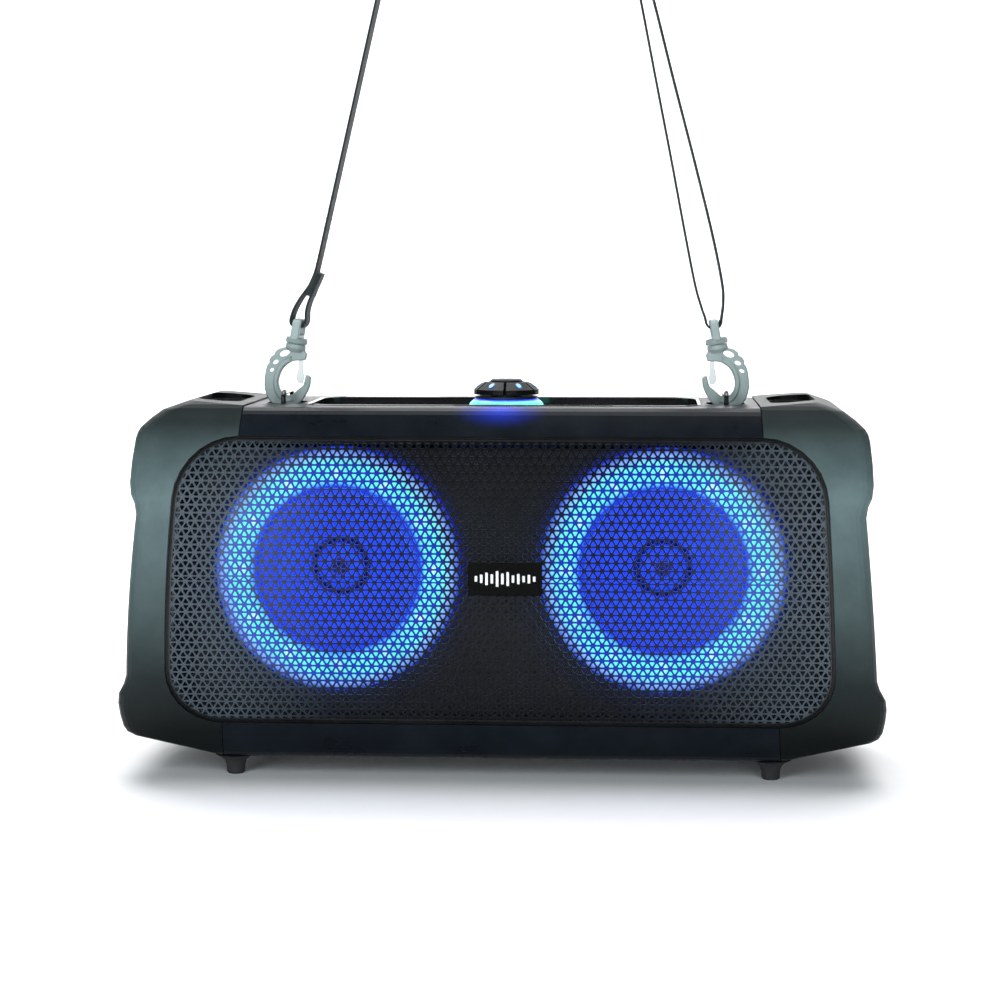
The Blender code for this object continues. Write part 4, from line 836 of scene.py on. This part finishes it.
def dome_light_material(name):
    """Light ring under the keys: mint low down, blue above."""
    made, tree, shader = new_material(name)
    place = node(tree, "TexCoord").outputs["Object"]
    height = node(tree, "SeparateXYZ", {0: place}).outputs["Z"]
    share = spread(tree, height, high("top_panel").z, high("control_light_ring").z)
    wave = noise(tree, 90.0, 2.0)
    colour = ramp(tree, share, [(0.0, MINT), (0.45, (0.20, 0.95, 1.0)), (0.75, BLUE), (1.0, DEEP_BLUE)])
    tree.links.new(colour, shader.inputs["Emission Color"])
    tree.links.new(spread(tree, wave, 0.3, 0.7, 0.85, 1.15), shader.inputs["Emission Strength"])
    shader.inputs["Base Color"].default_value = (0.03, 0.08, 0.2, 1.0)
    tree.links.new(spread(tree, wave, 0.3, 0.7, 0.2, 0.35), shader.inputs["Roughness"])
    return made


def add_glow(material, centres, plane, inner, outer, strength):
    """Imitates blue light spilling onto a moulded material, by emission round one or more centres."""
    tree = material.node_tree
    shader = tree.nodes["Principled BSDF"]
    total = 0.0
    for centre in centres:
        radius, _ = distance_from(tree, centre, plane)
        share = spread(tree, radius, inner, outer, 1.0, 0.0)
        total = math_node(tree, "ADD", total, math_node(tree, "POWER", share, 2.0))
    tree.links.new(math_node(tree, "MULTIPLY", total, strength), shader.inputs["Emission Strength"])
    shader.inputs["Emission Color"].default_value = (*BLUE, 1.0)
    return material


def ribbed_rubber(name, pitch, axis):
    """Rubber with straight ribs across an axis of the part, with painted shade in the grooves."""
    made, tree, shader = new_material(name)
    place = node(tree, "TexCoord").outputs["Object"]
    along = node(tree, "SeparateXYZ", {0: place}).outputs[axis]
    wave = math_node(tree, "SINE", math_node(tree, "MULTIPLY", along, 2 * math.pi / pitch))
    speck = noise(tree, 1400.0, 2.0)
    height = math_node(tree, "ADD", wave, math_node(tree, "MULTIPLY", speck, 0.3))
    # painted shade: darker in the grooves, lighter on the crests
    tree.links.new(mix(tree, spread(tree, wave, -1.0, 1.0), (0.006, 0.006, 0.007), (0.022, 0.022, 0.023)),
                   shader.inputs["Base Color"])
    tree.links.new(spread(tree, speck, 0.3, 0.7, 0.7, 0.85), shader.inputs["Roughness"])
    bumps(tree, shader, height, 0.0003, 0.9)
    return made


def flap_details(material):
    """A raised frame, a thumb tab and moulded ridges on the rear flap."""
    lowest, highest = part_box("io_flap")
    centre = (lowest + highest) / 2
    face = highest.y - 0.00005
    wide, tall = highest.x - lowest.x, highest.z - lowest.z
    bm = bmesh.new()
    for z in (lowest.z + 0.0035, highest.z - 0.0075):
        rounded_slab(bm, (centre.x, face, z), (wide * 0.92, 0.0014), 0.0005, 0.0006, 1)
    for x in (centre.x - wide * 0.455, centre.x + wide * 0.455):
        rounded_slab(bm, (x, face, centre.z - 0.002), (0.0014, tall * 0.76), 0.0005, 0.0006, 1)
    for i in range(5):
        ridge = (centre.x, face, lowest.z + 0.008 + 0.0022 * i)
        rounded_slab(bm, ridge, (0.020, 0.0010), 0.0006, 0.0004, 1)
    return finish_piece(bmesh_object("flap_ridges", bm), material, "io_flap")


# ---------------------------------------------------------------- camera, light, floor

CAMERA_DISTANCE = 1.5
CAMERA_SIDE = 0.090
CAMERA_HEIGHT = 0.3247
CAMERA_DOWN = 5.44
CAMERA_TURN = 3.35
FOCAL_LENGTH = 88.6


def camera():
    lens = bpy.data.cameras.new("camera")
    lens.sensor_width = 36.0
    lens.lens = FOCAL_LENGTH
    lens.clip_end = 50.0
    made = bpy.data.objects.new("camera", lens)
    front = low("end_cap_left").y
    made.location = (CAMERA_SIDE, front - CAMERA_DISTANCE, CAMERA_HEIGHT)
    made.rotation_euler = (math.radians(90 - CAMERA_DOWN), 0.0, math.radians(CAMERA_TURN))
    bpy.context.scene.collection.objects.link(made)
    bpy.context.scene.camera = made


def area_light(name, place, target, size, energy, colour=(1.0, 1.0, 1.0)):
    lamp = bpy.data.lights.new(name, "AREA")
    lamp.shape = "RECTANGLE"
    lamp.size, lamp.size_y = size
    lamp.energy = energy
    lamp.color = colour
    made = bpy.data.objects.new(name, lamp)
    made.location = place
    made.rotation_euler = (Vector(target) - Vector(place)).to_track_quat("-Z", "Y").to_euler()
    bpy.context.scene.collection.objects.link(made)


def studio():
    """A pale floor that curves up into the backdrop, and large soft lights."""
    verts, faces = [], []
    bend = 1.2
    back = 2.6
    rows = [(-6.0, 0.0), (back - bend, 0.0)]
    rows += [(back - bend + bend * math.sin(a), bend - bend * math.cos(a))
             for a in (math.pi / 2 * i / 12 for i in range(1, 13))]
    rows.append((back, 5.0))
    for y, z in rows:
        verts += [(-6.0, y, z), (6.0, y, z)]
    for i in range(len(rows) - 1):
        faces.append((2 * i, 2 * i + 1, 2 * i + 3, 2 * i + 2))
    floor = mesh_object("floor", verts, faces)
    made, tree, shader = new_material("floor_paper")
    grain = noise(tree, 60.0, 4.0)
    tree.links.new(mix(tree, grain, (0.86, 0.86, 0.865), (0.90, 0.90, 0.90)), shader.inputs["Base Color"])
    shader.inputs["Roughness"].default_value = 0.9
    shader.inputs["Specular IOR Level"].default_value = 0.1
    floor.data.materials.append(made)
    floor.data.shade_smooth()
    world = bpy.data.worlds.new("studio")
    world.use_nodes = True
    world.node_tree.nodes["Background"].inputs["Color"].default_value = (0.93, 0.96, 1.0, 1.0)
    world.node_tree.nodes["Background"].inputs["Strength"].default_value = 0.12
    bpy.context.scene.world = world
    area_light("top_light", (-0.2, 0.7, 2.4), (0.0, 0.9, 0.0), (3.2, 2.0), 95.0)
    area_light("left_light", (-0.72, -1.6, 0.50), (-0.20, 0.0, 0.16), (0.50, 1.3), 17.0, (0.88, 0.96, 1.0))
    area_light("right_light", (0.52, -1.6, 0.56), (0.22, 0.0, 0.16), (0.36, 1.1), 9.0, (0.88, 0.96, 1.0))
    area_light("back_light", (0.2, 1.4, 2.4), (0.0, 2.6, 0.6), (3.4, 1.4), 60.0)
    bpy.context.scene.view_settings.view_transform = "Standard"


# ---------------------------------------------------------------- assembly

# how much distance along each axis counts in a glow
FLAT = (1.0, 1.0, 0.0)
FACING = (1.0, 0.0, 1.0)
UNDER_DOME = (1.0, 0.0, 2.4)
RING_INNER_SHARE = 0.682
DUST_CAP_RADIUS = 0.0175
MAT_RIB_PITCH = 0.0036
GRIP_RIB_PITCH = 0.0042
# painted light and shade on the end caps: lightest a little above mid height, darker low down and at the very
# top, and darker towards the back
CAP_PAINTED_LIGHT_OVER_HEIGHT = [(0.08, 0.03), (0.24, 0.12), (0.46, 0.55), (0.74, 1.0),
               (0.86, 0.60), (0.94, 0.16), (1.0, 0.10)]
CAP_PAINTED_SHADE_TO_BACK = [(0.12, 1.0), (0.40, 0.42), (0.85, 0.24)]


def recoat(name, material):
    nodes[name].data.materials[0] = material


def cap_material():
    """Charcoal moulding, with painted light and shade over its height and depth."""
    lowest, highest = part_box("end_cap_left")
    tones = (("Z", lowest.z, highest.z, CAP_PAINTED_LIGHT_OVER_HEIGHT), ("Y", lowest.y, highest.y, CAP_PAINTED_SHADE_TO_BACK))
    return moulded("cap_grain_lit", (0.085, 0.125, 0.128), (0.115, 0.165, 0.168), 0.40, specular=0.12,
                   tones=tones)


def bezel_material(name):
    return moulded(name, (0.003, 0.005, 0.008), (0.006, 0.009, 0.013), 0.30, grain_height=0.00003,
                   specular=0.09)


def slot_coats():
    """One material for each of the record's material slots."""
    black = moulded("black_grain", (0.008, 0.009, 0.010), (0.016, 0.017, 0.019), 0.5)
    gloss = moulded("gloss_black", (0.004, 0.004, 0.005), (0.009, 0.009, 0.011), 0.12,
                    grain_height=0.00001, coat=0.6)
    return {
        "cap_plastic": cap_material(),
        "bezel_plastic": bezel_material("bezel_satin"),
        "black_plastic": black,
        "gloss_plastic": gloss,
        "rubber": moulded("rubber_matt", (0.010, 0.010, 0.011), (0.020, 0.020, 0.021), 0.78, grain=1500.0,
                          grain_height=0.00012),
        "hook_plastic": moulded("hook_nylon", (0.27, 0.335, 0.325), (0.35, 0.42, 0.41), 0.42,
                                grain_height=0.00004),
        "gate_plastic": moulded("gate_nylon", (0.80, 0.83, 0.82), (0.90, 0.92, 0.91), 0.38,
                                grain_height=0.00003),
        "steel": moulded("plain_steel", (0.30, 0.31, 0.32), (0.42, 0.43, 0.44), 0.32, metallic=1.0),
        "circuit_board": moulded("green_board", (0.012, 0.11, 0.04), (0.02, 0.16, 0.06), 0.4),
        "battery_wrap": moulded("blue_wrap", (0.03, 0.10, 0.30), (0.05, 0.15, 0.40), 0.35),
        "webbing": weave_material("webbing_weave", (0.004, 0.008, 0.010), (0.018, 0.028, 0.030),
                                  0.0016, 0.0011, 0.00016, sheen=0.12),
        "pad_fabric": weave_material("pad_weave", (0.008, 0.009, 0.010), (0.026, 0.028, 0.030),
                                     0.0012, 0.0012, 0.00010),
        "grille_metal": black,
        "light_guide": gloss,
        "cone_paper": black,
    }


def coat_nodes(coats):
    """Gives every CAD node the material of its slot."""
    for row in frame["record"]["subparts"]:
        obj = nodes[row["node"]]
        obj.data.materials.clear()
        obj.data.materials.append(coats[row["material_slot"]])
        obj.data.shade_smooth()
        obj.data.set_sharp_from_angle(angle=math.radians(32))


def light_woofers():
    """Lamp rings, cones with painted blue light, and black frames and surrounds beside them with painted blue
    glow.
    """
    for side_name, _ in SIDES:
        centre = woofer_centre(side_name)
        lowest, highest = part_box("led_ring_" + side_name)
        outer = (highest.x - lowest.x) / 2
        inner = outer * RING_INNER_SHARE
        recoat("led_ring_" + side_name, light_ring_material("ring_light_" + side_name, centre, inner, outer))
        recoat("woofer_cone_" + side_name,
               lit_cone_material("cone_light_" + side_name, centre, DUST_CAP_RADIUS))
        lit = lit_black_material("frame_light_" + side_name, centre, 0.0, 1.0, 0.9)
        recoat("woofer_frame_" + side_name, lit)
        recoat("woofer_surround_" + side_name, lit)


def coat_top():
    """The bezel and panel with the dome's light painted on as emission, the dome's ring, the ribbed mat and
    the grips.
    """
    dome = middle("control_housing")
    bezel = bezel_material("bezel_satin_lit")
    add_glow(bezel, [Vector((dome.x, 0.0, high("top_panel").z))], UNDER_DOME, 0.0, 0.034, 0.9)
    recoat("top_bezel", bezel)
    panel = moulded("panel_lit", (0.004, 0.005, 0.007), (0.008, 0.009, 0.012), 0.36, grain_height=0.00003,
                    specular=0.12)
    add_glow(panel, [dome], FLAT, 0.022, 0.046, 0.5)
    recoat("top_panel", panel)
    recoat("control_light_ring", dome_light_material("dome_light"))
    recoat("tray_mat", ribbed_rubber("mat_ribs", MAT_RIB_PITCH, 0))
    for side_name, _ in SIDES:
        recoat("grip_cup_" + side_name, ribbed_rubber("grip_ribs_" + side_name, GRIP_RIB_PITCH, 1))


def front(black):
    """The baffle and hole walls with painted blue glow, the perforated sheet with its edge, and the badge."""
    centres = [woofer_centre(side_name) for side_name, _ in SIDES]
    baffle = moulded("baffle_lit", (0.006, 0.006, 0.008), (0.012, 0.012, 0.014), 0.6)
    add_glow(baffle, centres, FACING, 0.071, 0.084, 0.8)
    recoat("front_baffle", baffle)
    # painted glow: blue emission on the hole walls near the rings; the walls are paler than the sheet's face
    hole_walls_lit = moulded("hole_walls_lit", (0.030, 0.046, 0.058), (0.080, 0.110, 0.130), 0.30,
                         grain_height=0.00002, metallic=0.3)
    add_glow(hole_walls_lit, centres, FACING, 0.050, 0.074, 1.0)
    front_edge(perforated_front(hole_walls_lit), black)
    recoat("badge_plate", moulded("badge_gloss", (0.001, 0.001, 0.001), (0.002, 0.002, 0.002), 0.2,
                                  grain_height=0.00001, specular=0.06))
    badge_mark(moulded("white_print", (0.75, 0.76, 0.77), (0.88, 0.88, 0.88), 0.4, grain_height=0.00002))


def shoulder_strap(webbing, padding):
    """The webbing with its seam, keeper and pad."""
    thread = moulded("thread", (0.05, 0.06, 0.06), (0.09, 0.10, 0.10), 0.7)
    band, path, length = strap(webbing)
    strap_stitching(thread)
    keeper = strap_keeper(webbing)
    pad = shoulder_pad(padding)


def main():
    camera()
    studio()
    coats = slot_coats()
    coat_nodes(coats)
    light_woofers()
    coat_top()
    front(coats["black_plastic"])
    key_marks(lamp_mark_material("key_lamp"))
    screws(coats["steel"])
    flap_details(coats["rubber"])
    shoulder_strap(coats["webbing"], coats["pad_fabric"])


main()
